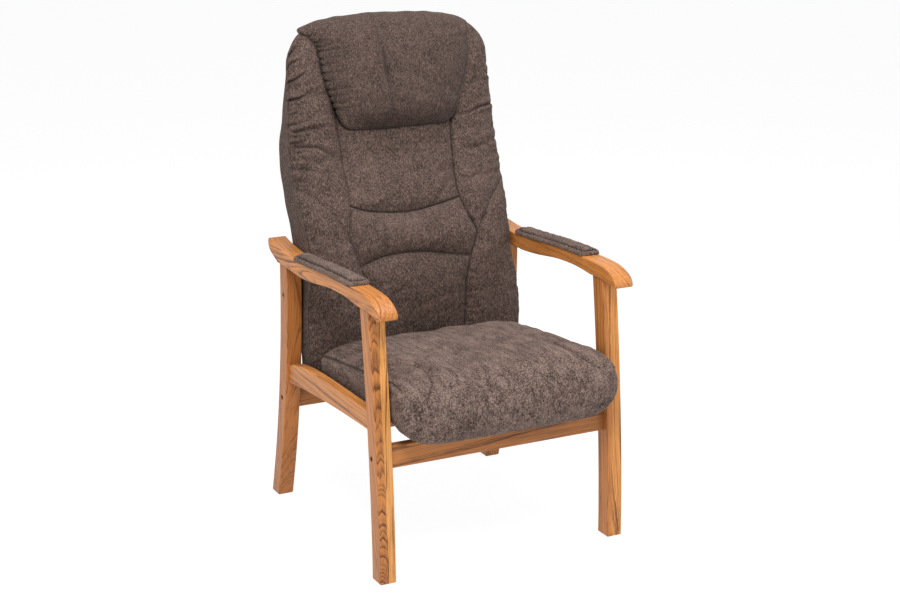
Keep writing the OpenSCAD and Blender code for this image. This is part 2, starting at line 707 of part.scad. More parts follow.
module rear_leg(side) color(oak) placed() on_side(side) difference() {
    leg_blank(false);
    leg_bolt_hole(rear_bolt_y, rear_bolt_z, bolt_sink);
    leg_bolt_hole(back_bolt_y, back_bolt_z, back_bolt_sink);
    arm_dowel_set(hole_gap);
    rail_dowel_set(hole_gap);
}

module armrest(side) color(oak) placed() on_side(side) difference() {
    arm_blank();
    arm_dowel_set(hole_gap);
    pad_screw_holes();
}

module side_rail(side) color(oak) placed() on_side(side) difference() {
    shares = [for (i = [0 : rail_steps]) i / rail_steps];
    translate([side_rail_x, 0, 0]) side_board(rail_t) polygon(concat(
        [for (s = shares) [side_rail_start + s * side_rail_run, rail_top(s)]],
        [for (s = reversed(shares)) [side_rail_start + s * side_rail_run, rail_under(s)]]
    ));
    leg_blank(true);
    leg_blank(false);
    rail_dowel_set(hole_gap);
    on_seat() cleat_screw_set(hole_gap);
}

module cross_rail(y, z, height, bolt_y, bolt_z) color(oak) placed() difference() {
    translate([-leg_x, y, z]) cube([2 * leg_x, rail_t, height]);
    both_sides() {
        translate([leg_x - barrel_in - barrel_d / 2 - bolt_past_barrel, bolt_y, bolt_z])
            rod_x(bolt_d + 2 * hole_gap, barrel_in + barrel_d + bolt_past_barrel);
        translate([leg_x - barrel_in, bolt_y, z - cut])
            cylinder(d = barrel_d + hole_gap, h = height / 2 + barrel_d + cut);
    }
}
module front_rail() cross_rail(front_rail_y, front_rail_z, front_rail_h, front_bolt_y, front_bolt_z);
module rear_rail() cross_rail(rear_rail_y, rear_rail_z, rear_rail_h, rear_bolt_y, rear_bolt_z);

// The cleat lies between the legs under the seat's frame
cleat_end_gap = 12;
cleat_front = seat_rear_y - front_line(rail_front_mid_z) - leg_d - cleat_end_gap;
cleat_rear = leg_spacing - seat_rear_y;
cleat_screw_share = [0.15, 0.5, 0.85];
cleat_screw_bite = 14;
seat_screw_share = [0.2, 0.8];
seat_screw_x = side_rail_x - cleat_w + (seat_frame_x - side_rail_x + cleat_w) / 2;
module cleat_screw_set(gap) {
    open = gap > 0 ? cut : 0;
    for (s = cleat_screw_share)
        translate([side_rail_x - cleat_w, mix(cleat_rear, -cleat_front, s), -cleat_h / 2]) {
            rod_x(screw_d + gap, cleat_w + cleat_screw_bite + gap);
            translate([-open, 0, 0]) rod_x(screw_head_d + gap, screw_d + open);
        }
}
module seat_screw_set(gap) {
    open = gap > 0 ? cut : 0;
    for (s = seat_screw_share)
        translate([seat_screw_x, -s * seat_frame_len - frame_gap, -cleat_h]) {
            cylinder(d = screw_d + gap, h = cleat_h + seat_member_h / 2 + gap);
            translate([0, 0, -open]) cylinder(d = screw_head_d + gap, h = screw_d + open);
        }
}
module seat_cleat(side) color(oak) placed() on_side(side) on_seat() difference() {
    translate([side_rail_x - cleat_w, -cleat_front, -cleat_h])
        cube([cleat_w, cleat_front + cleat_rear, cleat_h]);
    cleat_screw_set(hole_gap);
    seat_screw_set(hole_gap);
}

module floor_glides() color(black_plastic) placed() both_sides() {
    for (y = [front_line(glide_t), rear_line(glide_t)])
        translate([leg_mid_x, y + leg_d / 2, 0]) cylinder(d = glide_d, h = glide_t);
}

module arm_dowels() color(oak) placed() both_sides() arm_dowel_set(0);
module side_rail_dowels() color(oak) placed() both_sides() rail_dowel_set(0);

// A bolt with a socket in its head, from the outer face of a leg inwards
socket_share = 0.8;
module leg_bolt(y, z, sink, len) {
    head_x = frame_w / 2 - sink;
    difference() {
        union() {
            translate([head_x, y, z]) rod_x(bolt_head_d, bolt_head_h);
            translate([head_x - len, y, z]) rod_x(bolt_d, len);
        }
        translate([head_x + bolt_head_h / 2, y, z]) rotate([0, 90, 0])
            cylinder(d = bolt_d * socket_share, h = bolt_head_h, $fn = 6);
    }
}
rail_bolt_len = leg_w - bolt_sink + barrel_in + bolt_past_barrel;
module rail_bolts() color(steel) placed() both_sides() {
    leg_bolt(front_bolt_y, front_bolt_z, bolt_sink, rail_bolt_len);
    leg_bolt(rear_bolt_y, rear_bolt_z, bolt_sink, rail_bolt_len);
}
module barrel_nut(y, z) difference() {
    translate([leg_x - barrel_in, y, z - barrel_d]) cylinder(d = barrel_d, h = 2 * barrel_d);
    translate([leg_x - barrel_in - barrel_d, y, z]) rod_x(bolt_d + hole_gap / 2, 2 * barrel_d);
}
module barrel_nuts() color(steel) placed() both_sides() {
    barrel_nut(front_bolt_y, front_bolt_z);
    barrel_nut(rear_bolt_y, rear_bolt_z);
}
back_bolt_len = frame_w / 2 - back_bolt_sink - back_frame_x + insert_len - bolt_past_barrel / 2;
module back_bolts() color(steel) placed() both_sides()
    leg_bolt(back_bolt_y, back_bolt_z, back_bolt_sink, back_bolt_len);
module back_inserts() color(steel) placed() both_sides() difference() {
    translate([back_frame_x - insert_len, back_bolt_y, back_bolt_z]) rod_x(insert_d, insert_len);
    translate([back_frame_x - insert_len - cut, back_bolt_y, back_bolt_z])
        rod_x(bolt_d + hole_gap / 2, insert_len + 2 * cut);
}

// Seat frame
module seat_frame_side(side) color(plywood) placed() on_side(side) on_seat() difference() {
    translate([seat_frame_x - seat_member_w, -frame_gap - seat_frame_len + seat_member_w, 0])
        cube([seat_member_w, seat_frame_len - 2 * seat_member_w, seat_member_h]);
    seat_screw_set(hole_gap);
}
module seat_frame_end(y) color(plywood) placed() on_seat()
    translate([-seat_frame_x, y, 0]) cube([2 * seat_frame_x, seat_member_w, seat_member_h]);
module seat_frame_front() seat_frame_end(-frame_gap - seat_frame_len);
module seat_frame_rear() seat_frame_end(-frame_gap - seat_member_w);

// One wave spring: a flat wire that swings from side to side along the seat
spring_run = seat_frame_len - seat_member_w;
function spring_line(side) = [
    for (i = [0 : spring_waves * spring_points])
        let (
            u = i / (spring_waves * spring_points),
            a = 360 * spring_waves * u,
            slope = spring_swing * cos(a) * 2 * PI * spring_waves / spring_run,
            n = sqrt(1 + slope * slope)
        )
        [spring_swing * sin(a) + side * wire_d / 2 / n, u * spring_run - side * wire_d / 2 * slope / n]
];
module seat_springs() color(steel) placed() on_seat() for (i = [0 : spring_count - 1])
    translate([spring_x(i), -frame_gap - seat_member_w / 2 - spring_run, spring_floor])
        linear_extrude(wire_d) polygon(concat(spring_line(-1), reversed(spring_line(1))));

// A clip at each end of each spring: a plate under the wire, a web and a lip over the wire
clip_len = 12;
module spring_clip() {
    translate([-clip_w / 2, 0, -clip_t]) cube([clip_w, clip_len, clip_t]);
    translate([-clip_w / 2, clip_len - clip_t, 0]) cube([clip_w, clip_t, wire_d + soft_gap]);
    translate([-clip_w / 2, 0, wire_d + soft_gap]) cube([clip_w, clip_len, clip_lip]);
}
module spring_clips() color(steel) placed() on_seat() for (i = [0 : spring_count - 1]) {
    rear = -frame_gap - seat_member_w / 2;
    reach = clip_len - clip_t - soft_gap - wire_d / 2;
    translate([spring_x(i), rear - reach, spring_floor]) spring_clip();
    translate([spring_x(i), rear - spring_run + reach, spring_floor]) rotate([0, 0, 180]) spring_clip();
}

module seat_foam() color(foam_colour) placed() on_seat() difference() {
    seat_inner(frame_gap);
    translate([-seat_half_w, -frame_gap - seat_frame_len - soft_gap, -cut])
        cube([2 * seat_half_w, seat_len, cut + foam_floor]);
}
module seat_cover() color(velour) placed() on_seat() difference() {
    loft(seat_rings);
    seat_inner(cover_t);
    translate([-seat_frame_x - soft_gap / 2, -frame_gap - seat_frame_len - soft_gap / 2, -cut])
        cube([2 * seat_frame_x + soft_gap, seat_frame_len + soft_gap, cut + seat_member_h + soft_gap]);
}
dust_cloth_t = 0.8;
dust_cloth_x = side_rail_x - cleat_w - dust_cloth_t;
module seat_dust_cloth() color(black_cloth) placed() on_seat()
    translate([-dust_cloth_x, -seat_frame_len, -dust_cloth_t])
        cube([2 * dust_cloth_x, seat_frame_len - frame_gap, dust_cloth_t]);
module seat_screws() color(steel) placed() both_sides() on_seat() seat_screw_set(0);
module cleat_screws() color(steel) placed() both_sides() on_seat() cleat_screw_set(0);

// Back frame
module back_side(side) color(plywood) placed() on_side(side) difference() {
    translate([back_frame_x - back_side_t, 0, 0]) side_board(back_side_t) polygon(back_side_outline);
    translate([back_frame_x - insert_len, back_bolt_y, back_bolt_z])
        rod_x(insert_d + hole_gap, insert_len + cut);
}
module back_cross(share, thick) color(plywood) placed() {
    half_share = back_rail_w / back_h / 2;
    front = max(seam_y(share), seam_y(share + half_share), seam_y(share - half_share)) + frame_front_gap;
    translate([-back_frame_x + back_side_t, front, back_z(share - half_share)])
        cube([2 * (back_frame_x - back_side_t), thick, back_rail_w]);
}
module back_top_rail() back_cross(top_rail_share, top_rail_t);
module back_middle_rail() back_cross(middle_rail_share, cross_rail_t);
module back_bottom_rail() back_cross(bottom_rail_share, cross_rail_t);
module back_webbing() color(black_cloth) placed() for (i = [1 : strap_count]) {
    low = back_coarse_share[2 * i];
    high = back_coarse_share[2 * i + 1];
    translate([-back_frame_x, 0, 0]) side_board(2 * back_frame_x) polygon([
        [seam_y(low) + soft_gap, back_z(low)],
        [seam_y(high) + soft_gap, back_z(high)],
        [seam_y(high) + soft_gap + strap_t, back_z(high)],
        [seam_y(low) + soft_gap + strap_t, back_z(low)]
    ]);
}
module back_foam() color(foam_colour) placed() back_inner(back_cover_t + 2 * soft_gap, 0);
module back_cover() color(velour) placed() difference() {
    back_form(0);
    back_inner(back_cover_t, back_reach);
}
module back_rear_cover() color(velour) placed() difference() {
    loft(rear_rings);
    loft([for (t = back_coarse_share) rear_ring(t, rear_cover_t, cut)]);
    both_sides() translate([back_frame_x, back_bolt_y, back_bolt_z])
        rod_x(bolt_d + 2 * hole_gap, leg_w);
}
module head_pillow() color(velour) placed() difference() {
    loft([for (u = pillow_level_share) pillow_ring(u)]);
    back_form(pillow_gap);
}

module arm_pad(side) color(velour) placed() on_side(side) difference() {
    loft([for (s = pad_station_share) pad_ring(s)]);
    arm_blank();
    pad_board_blank(soft_gap);
}
module arm_pad_board(side) color(plywood) placed() on_side(side) difference() {
    pad_board_blank(0);
    arm_blank();
    pad_screw_holes();
}
module arm_pad_screws() color(steel) placed() both_sides() for (s = pad_screw_share) {
    y = pad_front_y + s * pad_len;
    seat_z = arm_base(y) + pad_screw_sink;
    translate([arm_mid_x, y, seat_z]) cylinder(d = screw_d, h = arm_top(y) + pad_screw_bite - seat_z);
    translate([arm_mid_x, y, seat_z - screw_d]) cylinder(d = screw_head_d, h = screw_d);
}

front_leg("left");  // front_leg_left
front_leg("right");  // front_leg_right
rear_leg("left");  // rear_leg_left
rear_leg("right");  // rear_leg_right
armrest("left");  // armrest_left
armrest("right");  // armrest_right
side_rail("left");  // side_rail_left
side_rail("right");  // side_rail_right
front_rail();
rear_rail();
seat_cleat("left");  // seat_cleat_left
seat_cleat("right");  // seat_cleat_right
floor_glides();
arm_dowels();
side_rail_dowels();
rail_bolts();
barrel_nuts();
back_bolts();
back_inserts();
seat_frame_side("left");  // seat_frame_left
seat_frame_side("right");  // seat_frame_right
seat_frame_front();
seat_frame_rear();
seat_springs();
spring_clips();
seat_foam();
seat_cover();
seat_dust_cloth();
seat_screws();
cleat_screws();
back_side("left");  // back_side_left
back_side("right");  // back_side_right
back_top_rail();
back_middle_rail();
back_bottom_rail();
back_webbing();
back_foam();
back_cover();
back_rear_cover();
head_pillow();
arm_pad("left");  // arm_pad_left
arm_pad("right");  // arm_pad_right
arm_pad_board("left");  // arm_pad_board_left
arm_pad_board("right");  // arm_pad_board_right
arm_pad_screws();
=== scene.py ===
# %% [markdown]
# # A fireside chair in oak and velour
#
# The chair is an oak frame that bolts together, with a sprung seat, a tall back that is sewn
# into channels, a head pillow and a padded cover on each arm. The measured model of all its
# parts comes first. It gives every piece its place, and the new pieces are laid over it.

# %% Load the measured model
import math

import bmesh
import bpy
import numpy as np
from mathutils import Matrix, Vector


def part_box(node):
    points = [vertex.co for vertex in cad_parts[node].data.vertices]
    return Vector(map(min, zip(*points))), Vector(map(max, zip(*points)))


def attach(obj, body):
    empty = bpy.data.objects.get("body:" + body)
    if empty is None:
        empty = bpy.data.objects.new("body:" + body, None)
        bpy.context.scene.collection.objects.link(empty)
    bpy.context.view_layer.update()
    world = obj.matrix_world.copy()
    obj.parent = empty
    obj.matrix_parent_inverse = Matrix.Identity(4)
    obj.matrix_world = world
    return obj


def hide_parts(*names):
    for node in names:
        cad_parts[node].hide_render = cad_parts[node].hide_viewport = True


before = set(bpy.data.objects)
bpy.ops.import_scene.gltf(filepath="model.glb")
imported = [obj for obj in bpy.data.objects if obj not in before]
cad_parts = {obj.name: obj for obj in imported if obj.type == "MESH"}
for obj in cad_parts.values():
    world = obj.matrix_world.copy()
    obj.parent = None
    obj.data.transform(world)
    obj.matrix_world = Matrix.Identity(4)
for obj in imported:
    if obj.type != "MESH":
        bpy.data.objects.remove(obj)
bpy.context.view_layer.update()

print("parts in the model:", len(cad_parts))

# %% [markdown]
# ## How the pieces are made
#
# A maker thinks in millimetres, and Blender works in metres, so every shape is worked out in
# millimetres and scaled once, when it becomes a mesh. Most pieces are a grid of points: one
# direction runs round the piece and the other along it. Two neighbours on each of two lines
# make one four-cornered face, so the faces come from the grid's counting alone. Each piece
# then says what it moves with, which part of the model it stands for, and its material.

# %% From a grid of points to a mesh
MM = 0.001
# The measured model has its origin under the middle of the chair. The side view was drawn
# from the front of the feet, which lie this far in front of the origin.
FEET_Y = -298.432


def grid_faces(rows, cols, round_cols=False):
    """One face for each cell between neighbouring rows and columns. A round grid joins its
    last column to its first."""
    r, c = np.meshgrid(np.arange(rows - 1), np.arange(cols if round_cols else cols - 1), indexing="ij")
    c2 = (c + 1) % cols
    return np.stack([r * cols + c, r * cols + c2, (r + 1) * cols + c2, (r + 1) * cols + c], -1).reshape(-1, 4)


def make_piece(name, points, faces, more_faces=()):
    """A mesh object from points in millimetres in the side view's frame, with its place in
    its mesh and the object itself at the origin."""
    points = np.asarray(points, float).reshape(-1, 3) + [0, FEET_Y, 0]
    mesh = bpy.data.meshes.new(name)
    mesh.from_pydata((points * MM).tolist(), [], np.asarray(faces).tolist() + [list(f) for f in more_faces])
    mesh.validate()
    mesh.polygons.foreach_set("use_smooth", np.ones(len(mesh.polygons), bool))
    piece = bpy.data.objects.new(name, mesh)
    bpy.context.scene.collection.objects.link(piece)
    return piece


def face_outwards(piece):
    """Joins points less than 0.02 mm apart and turns all faces of a closed piece outwards."""
    bm = bmesh.new()
    bm.from_mesh(piece.data)
    bmesh.ops.remove_doubles(bm, verts=bm.verts, dist=0.02 * MM)
    bmesh.ops.recalc_face_normals(bm, faces=bm.faces)
    bm.to_mesh(piece.data)
    bm.free()
    return piece


def tube_piece(name, rings, crease_shade=None):
    """A closed piece from rings of points of equal number, with a flat face on each end. The
    painted shade given as crease_shade, from 0 to 1 for each point, stays with the mesh for its
    finish."""
    rings = np.asarray(rings, float)
    n, m = rings.shape[:2]
    ends = [range(m), range((n - 1) * m, n * m)]
    piece = make_piece(name, rings, grid_faces(n, m, True), ends)
    if crease_shade is not None:
        field = piece.data.attributes.new("crease_shade", "FLOAT", "POINT")
        field.data.foreach_set("value", np.ascontiguousarray(crease_shade, np.float32).ravel())
    return face_outwards(piece)


def stands_for(piece, node):
    """Nothing on the chair moves, so each piece rides on the model's one body. It takes a
    part's place there."""
    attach(piece, "root")
    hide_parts(node)
    return piece


# %% [markdown]
# ## Curves through a few measured points
#
# A chair maker bends a thin lath through a few marks and draws along it. Two helpers do the
# same. One reads a value between the rows of a table, and the other runs a curve through
# points and sets new points on it at even distances.

# %% Laths through marks
def cubic(a, b, c, d, u):
    """The cubic from b to c at the share u. Its ends aim along the lines from a to c and from
    b to d."""
    return 0.5 * (2 * b + (c - a) * u + (2 * a - 5 * b + 4 * c - d) * u**2 + (3 * b - a - 3 * c + d) * u**3)


def smooth_rows(table, t, column):
    """The value of a table's column at a share t. Between two rows it follows the cubic that
    has at each row the slope of the line between that row's neighbours."""
    rows = np.asarray(table, float)
    share, value = rows[:, 0], rows[:, column]
    last = len(share) - 1
    step = np.arange(last + 1)
    low, high = np.maximum(step - 1, 0), np.minimum(step + 1, last)
    slope = (value[high] - value[low]) / (share[high] - share[low])
    i = np.clip(np.searchsorted(share, t, side="right") - 1, 0, last - 1)
    d = share[i + 1] - share[i]
    u = (t - share[i]) / d
    rise, a, b = value[i + 1] - value[i], slope[i] * d, slope[i + 1] * d
    return value[i] + a * u + (3 * rise - 2 * a - b) * u**2 + (a + b - 2 * rise) * u**3


def even_curve(points, step, closed=False):
    """A curve through points, a cubic for each stretch, with new points set along it at even
    steps."""
    p = np.asarray(points, float)
    n = len(p)
    i = np.arange(n if closed else n - 1)
    u = np.linspace(0, 1, 24, endpoint=False)[None, :, None]
    marks = (p[(i + k) % n if closed else np.clip(i + k, 0, n - 1)][:, None, :] for k in (-1, 0, 1, 2))
    fine = cubic(*marks, u).reshape(-1, p.shape[1])
    fine = np.vstack([fine, fine[:1] if closed else p[-1:]])
    along = np.concatenate([[0], np.cumsum(np.linalg.norm(np.diff(fine, axis=0), axis=1))])
    count = max(2, int(round(along[-1] / step)) + 1)
    at = np.linspace(0, along[-1], count)[: -1 if closed else None]
    return np.stack([np.interp(at, along, fine[:, k]) for k in range(p.shape[1])], -1)


def mix(a, b, u):
    """From a to b by the share u."""
    return a + (b - a) * u


def ramp(u):
    """u held between 0 and 1."""
    return np.clip(u, 0, 1)


# %% [markdown]
# ## The oak boards
#
# Each oak part is a board cut to an outline in the side view, with its long edges rounded
# off by a router. The outline is drawn once and repeated across the board. Close to the two
# faces it is drawn inwards along a quarter circle, which leaves a rounded edge all the way
# round, as the router does. A bevel would do this too, but the grid keeps the edge even on
# the tight curves of an arm's nose.

# %% A board with rounded edges
def inward(outline):
    """For each point of a closed outline, the way inwards that draws both its neighbouring
    edges in by one: the sum of the edges' inward normals over one plus their product."""
    edge = np.roll(outline, -1, 0) - outline
    edge /= np.linalg.norm(edge, axis=1, keepdims=True)
    normal = np.stack([-edge[:, 1], edge[:, 0]], -1)
    area = np.sum(outline[:, 0] * np.roll(outline[:, 1], -1) - np.roll(outline[:, 0], -1) * outline[:, 1])
    normal *= np.sign(area)
    before = np.roll(normal, 1, 0)
    return (normal + before) / np.maximum(1 + np.sum(normal * before, 1, keepdims=True), 0.5)


def board(name, outline, x0, x1, radius, steps=5):
    """The outline [y, z] repeated from x0 to x1. Within the radius of a face, at the angle a,
    it stands radius times (1 - cos a) from the face and is drawn in by radius times
    (1 - sin a)."""
    outline = np.asarray(outline, float)
    a = np.linspace(0, np.pi / 2, steps + 1)
    out, draw = radius * (1 - np.cos(a)), radius * (1 - np.sin(a))
    width = abs(x1 - x0)
    out, draw = np.concatenate([out, width - out[::-1]]), np.concatenate([draw, draw[::-1]])
    flat = outline[None] + inward(outline)[None] * draw[:, None, None]
    x = np.broadcast_to((x0 + np.sign(x1 - x0) * out)[:, None, None], flat.shape[:2] + (1,))
    piece = tube_piece(name, np.concatenate([x, flat], -1))
    piece.data.set_sharp_from_angle(angle=math.radians(50))
    even = piece.modifiers.new("even shading", "WEIGHTED_NORMAL")
    even.keep_sharp = True
    even.weight = 90
    return piece


def drill(piece, y, z, diameter, x0, x1):
    """Bores a hole along X and keeps the result as the piece's mesh."""
    a = np.linspace(0, 2 * np.pi, 48, endpoint=False)
    ring = np.stack([0 * a, y + diameter / 2 * np.cos(a), z + diameter / 2 * np.sin(a)], -1)
    bit = tube_piece("drill", ring[None] + np.array([x0, x1])[:, None, None] * [1, 0, 0])
    cut = piece.modifiers.new("drill", "BOOLEAN")
    cut.object, cut.operation, cut.solver = bit, "DIFFERENCE", "EXACT"
    others = [m for m in piece.modifiers if m != cut]
    for m in others:
        m.show_viewport = False
    view = bpy.context.evaluated_depsgraph_get()
    bored = bpy.data.meshes.new_from_object(piece.evaluated_get(view))
    piece.modifiers.remove(cut)
    for m in others:
        m.show_viewport = True
    piece.data = bored
    bored.set_sharp_from_angle(angle=math.radians(50))
    bpy.data.objects.remove(bit)
    return piece


# %% [markdown]
# ## The legs
#
# In the front view a leg is straight and 40 mm wide. In the side view it bows: a front leg
# leans back towards its top and a rear leg sweeps out behind the chair at its foot. Both are
# cut from a plank with a band saw, so one outline does it. The bolts' heads lie in sunk
# holes in the outer faces. Their heights are known, and the legs' own curves say how far
# back each one lies.

# %% Legs
# A leg's width and depth, half the width over both legs, the legs' heights and the glides'
LEG_W, LEG_D, HALF_W = 40, 43, 320
FRONT_TOP, REAR_TOP, GLIDE = 631, 624, 3
# Where a rear leg's front face ends at its top, in mm behind the front of the feet
REAR_Y = 521
# The cross rails' thickness, and how far the front one lies behind its legs' front faces
RAIL_T, FRONT_RAIL_IN = 24, 15
# Heights of the bolts, and the width and depths of the sunk holes
FRONT_BOLT, REAR_BOLT, BACK_BOLT = 292.5, 277.0, 547.0
HOLE_W, RAIL_HOLE, BACK_HOLE = 11.6, 12, 7


def front_line(z):
    """Front face of a front leg: 50 mm back at its top, on a power of the height."""
    return 50 * (np.maximum(z, 0) / FRONT_TOP) ** 1.7


def rear_line(z):
    """Front face of a rear leg: 93 mm further back at its foot than at its top."""
    return REAR_Y + 93 * (1 - np.minimum(z, REAR_TOP) / REAR_TOP) ** 2


def leg_outline(line, top):
    """Up a leg's front face and down its rear face, a leg's depth behind, as [y, z]."""
    z = np.linspace(GLIDE, top, 60)
    front = np.stack([line(z), z], -1)
    return np.concatenate([front, front[::-1] + [LEG_D, 0]])


front_bolt_y = front_line(FRONT_BOLT) + FRONT_RAIL_IN + RAIL_T / 2
rear_bolt_y = rear_line(REAR_BOLT) + LEG_D / 2
back_bolt_y = rear_line(BACK_BOLT) + LEG_D / 2
sunk_holes = {
    "front": [(front_bolt_y, FRONT_BOLT, RAIL_HOLE)],
    "rear": [(rear_bolt_y, REAR_BOLT, RAIL_HOLE), (back_bolt_y, BACK_BOLT, BACK_HOLE)],
}
legs = {}
for side, sign in (("left", -1), ("right", 1)):
    for end, (line, top) in {"front": (front_line, FRONT_TOP), "rear": (rear_line, REAR_TOP)}.items():
        outline = leg_outline(line, top)
        leg = board(f"oak_{end}_leg_{side}", outline, sign * (HALF_W - LEG_W), sign * HALF_W, radius=2.5)
        for y, z, depth in sunk_holes[end]:
            # The bit starts outside the leg
            drill(leg, y, z, HOLE_W, sign * (HALF_W - depth), sign * (HALF_W + 5))
        legs[end, side] = stands_for(leg, f"{end}_leg_{side}")
print("legs:", len(legs), "with", sum(len(l.data.polygons) for l in legs.values()), "faces")

# %% [markdown]
# ## The arms
#
# An arm is one thick board, cut to a long wave: high over the front leg, low in the middle of
# its rear half, and rising again to a pointed tail. Its nose curls down in front of the leg.
# Its upper side is one sweep of the lath, its lower side another, with a flat over each leg
# where the dowels go in. The marks are shares: how far along the arm, and how many times its
# thickness above the line that joins the legs' tops.

# %% Arms
# An arm's length, thickness and width, and how far its nose lies before the front of the feet
ARM_LEN, ARM_T, ARM_W, ARM_REACH = 641, 33, 49, 15
# An arm stands 5 mm past its legs' outer faces, and its flats 4 mm past a leg at either end
ARM_X, FLAT = HALF_W + 5 - ARM_W, 4
arm_top_share = [
    [0, -.13], [.006, .21], [.026, .545], [.053, .79], [.094, 1], [.164, 1.115], [.257, 1.155],
    [.353, 1.155], [.454, 1.105], [.574, .99], [.663, .925], [.740, .918], [.825, 1.02],
    [.903, 1.19], [.959, 1.37], [.998, 1.55],
]
arm_tail_share = [[.998, 1.55], [1, 1.16], [.989, .76], [.964, .45], [.931, .21]]
arm_middle_share = [[.740, -.14], [.672, -.19], [.572, -.08], [.479, .11], [.404, .23], [.289, .24]]
arm_nose_share = [[.047, -.145], [.016, -.29], [.003, -.26], [0, -.13]]
front_top_y = float(front_line(FRONT_TOP))


def arm_base(y):
    """The line that joins the tops of the two legs."""
    return mix(FRONT_TOP, REAR_TOP, (y - front_top_y) / (REAR_Y - front_top_y))


def arm_points(table):
    """The marks of a table as [y, z] in millimetres."""
    s = np.asarray(table, float)
    y = s[:, 0] * ARM_LEN - ARM_REACH
    return np.stack([y, arm_base(y) + s[:, 1] * ARM_T], -1)


def arm_top(y):
    """Height of an arm's upper side."""
    return smooth_rows(arm_top_share, (y + ARM_REACH) / ARM_LEN, 1) * ARM_T + arm_base(y)


nose_and_top = even_curve(np.vstack([arm_points(arm_nose_share)[:-1], arm_points(arm_top_share)]), 4)
tail = even_curve(arm_points(arm_tail_share), 4)
over_rear, over_front = (
    np.array([[start + LEG_D + FLAT, top], [start - FLAT, top]])
    for start, top in ((REAR_Y, REAR_TOP), (front_top_y, FRONT_TOP))
)
under = even_curve(np.vstack([over_rear[1:], arm_points(arm_middle_share), over_front[:1]]), 4)
arm_outline = np.vstack([nose_and_top, tail[1:], over_rear[:1], under, over_front[1:]])
arms = {}
for side, sign in (("left", -1), ("right", 1)):
    x0, x1 = sign * ARM_X, sign * (ARM_X + ARM_W)
    arm = board(f"oak_arm_{side}", arm_outline, x0, x1, radius=4.5, steps=7)
    arms[side] = stands_for(arm, f"armrest_{side}")
print("points on an arm's outline:", len(arm_outline))

# %% [markdown]
# ## The rails
#
# Two side rails and two cross rails join the legs. A side rail is as deep as a hand at the
# front and swells towards the rear leg, and its ends are cut to the legs' curves. The cross
# rails are plain planed boards. They run across the chair, so the same maker of boards draws
# their section instead of their outline.

# %% Rails
# Height of a side rail's upper edge at the front leg, its depth there, the heights where its
# edges meet the rear leg, and how far it stands in from the legs' outer faces
SIDE_TOP, SIDE_D, UPPER_END, LOWER_END, SIDE_IN = 393, 45, 367, 325, 8
rail_start, rail_end = float(front_line(SIDE_TOP)) + LEG_D / 2, float(rear_line(SIDE_TOP)) + LEG_D / 2


def rail_edge(front_z, rear_z, fall, power):
    """One edge of a side rail, [y, z], between the legs' faces. It falls from its height at
    the front on a power of the way to the rear."""
    y = mix(front_line(front_z) + LEG_D, rear_line(rear_z), np.linspace(0, 1, 80))
    return np.stack([y, front_z - fall * ((y - rail_start) / (rail_end - rail_start)) ** power], -1)


upper, lower = rail_edge(SIDE_TOP, UPPER_END, 29, 7), rail_edge(SIDE_TOP - SIDE_D, LOWER_END, 26, 2)
rail_outline = np.vstack([upper, lower[::-1]])
rails = {}
for side, sign in (("left", -1), ("right", 1)):
    x0, x1 = sign * (HALF_W - SIDE_IN - RAIL_T), sign * (HALF_W - SIDE_IN)
    rails[f"side_rail_{side}"] = board(f"oak_side_rail_{side}", rail_outline, x0, x1, radius=3)


def cross_rail(name, y, z, height):
    """A board whose middle lies at y and its lower side at z. Its section, with rounded
    corners, is carried across the chair."""
    r, a = 2.5, np.linspace(0, np.pi / 2, 5)
    corner = np.stack([np.cos(a), np.sin(a)], -1) * r
    quarter = np.array([[0, 1], [-1, 0]])
    half = np.array([RAIL_T / 2 - r, height / 2 - r])
    section = []
    for turns, sign in enumerate(([1, 1], [-1, 1], [-1, -1], [1, -1])):
        section.append(corner @ np.linalg.matrix_power(quarter, turns) + half * sign)
    section = np.vstack(section) + [y, z + height / 2]
    return board(name, section, -(HALF_W - LEG_W), HALF_W - LEG_W, radius=0.6, steps=2)


rails["front_rail"] = cross_rail("oak_front_rail", front_bolt_y, z=266, height=53)
rails["rear_rail"] = cross_rail("oak_rear_rail", rear_bolt_y, z=250, height=54)
for node, rail in rails.items():
    stands_for(rail, node)
print("rails:", sorted(rails))

# %% [markdown]
# ## Lines on cloth
#
# Seams, pleats and wrinkles are all lines on a cushion. What each does to the cloth depends
# on how far a point is from the line, and on how far along the line it is. So one helper
# works out both for every point of a grid at once, and the cushions below use it for a sewn
# seam (a narrow furrow in a wide soft dip) and for a pleat (a furrow with a ridge beside it
# that runs out along its length).

# %% Distance to a line, seams and pleats
def line_field(points, line):
    """For each point: the distance to a bent line, and the share of the line's length at the
    nearest point. Straight runs are taken one by one. In a plane the distance has a sign for
    the side, that of the cross product of the run and the way from it to the point."""
    line = np.asarray(line, float)
    runs = np.linalg.norm(np.diff(line, axis=0), axis=1)
    start = np.concatenate([[0], np.cumsum(runs)])
    best = np.full(points.shape[:-1], 1e9)
    side, share = np.ones(best.shape), np.zeros(best.shape)
    for a, b, length, before in zip(line[:-1], line[1:], runs, start):
        d = (b - a) / length
        along = np.clip((points - a) @ d, 0, length)
        away = points - a - along[..., None] * d
        far = np.linalg.norm(away, axis=-1)
        near = far < best
        best = np.where(near, far, best)
        share = np.where(near, (before + along) / start[-1], share)
        if len(d) == 2:
            turn = d[0] * away[..., 1] - d[1] * away[..., 0]
            side = np.where(near, np.where(turn < 0, -1, 1), side)
    return best * side, share


def most(*fields):
    """The largest of several fields at each point."""
    return np.maximum.reduce(np.broadcast_arrays(*fields))


def crease_at(d, width):
    """A bell curve of that width over the distance d: the form of a furrow, and its shade."""
    return np.exp(-((d / width) ** 2))


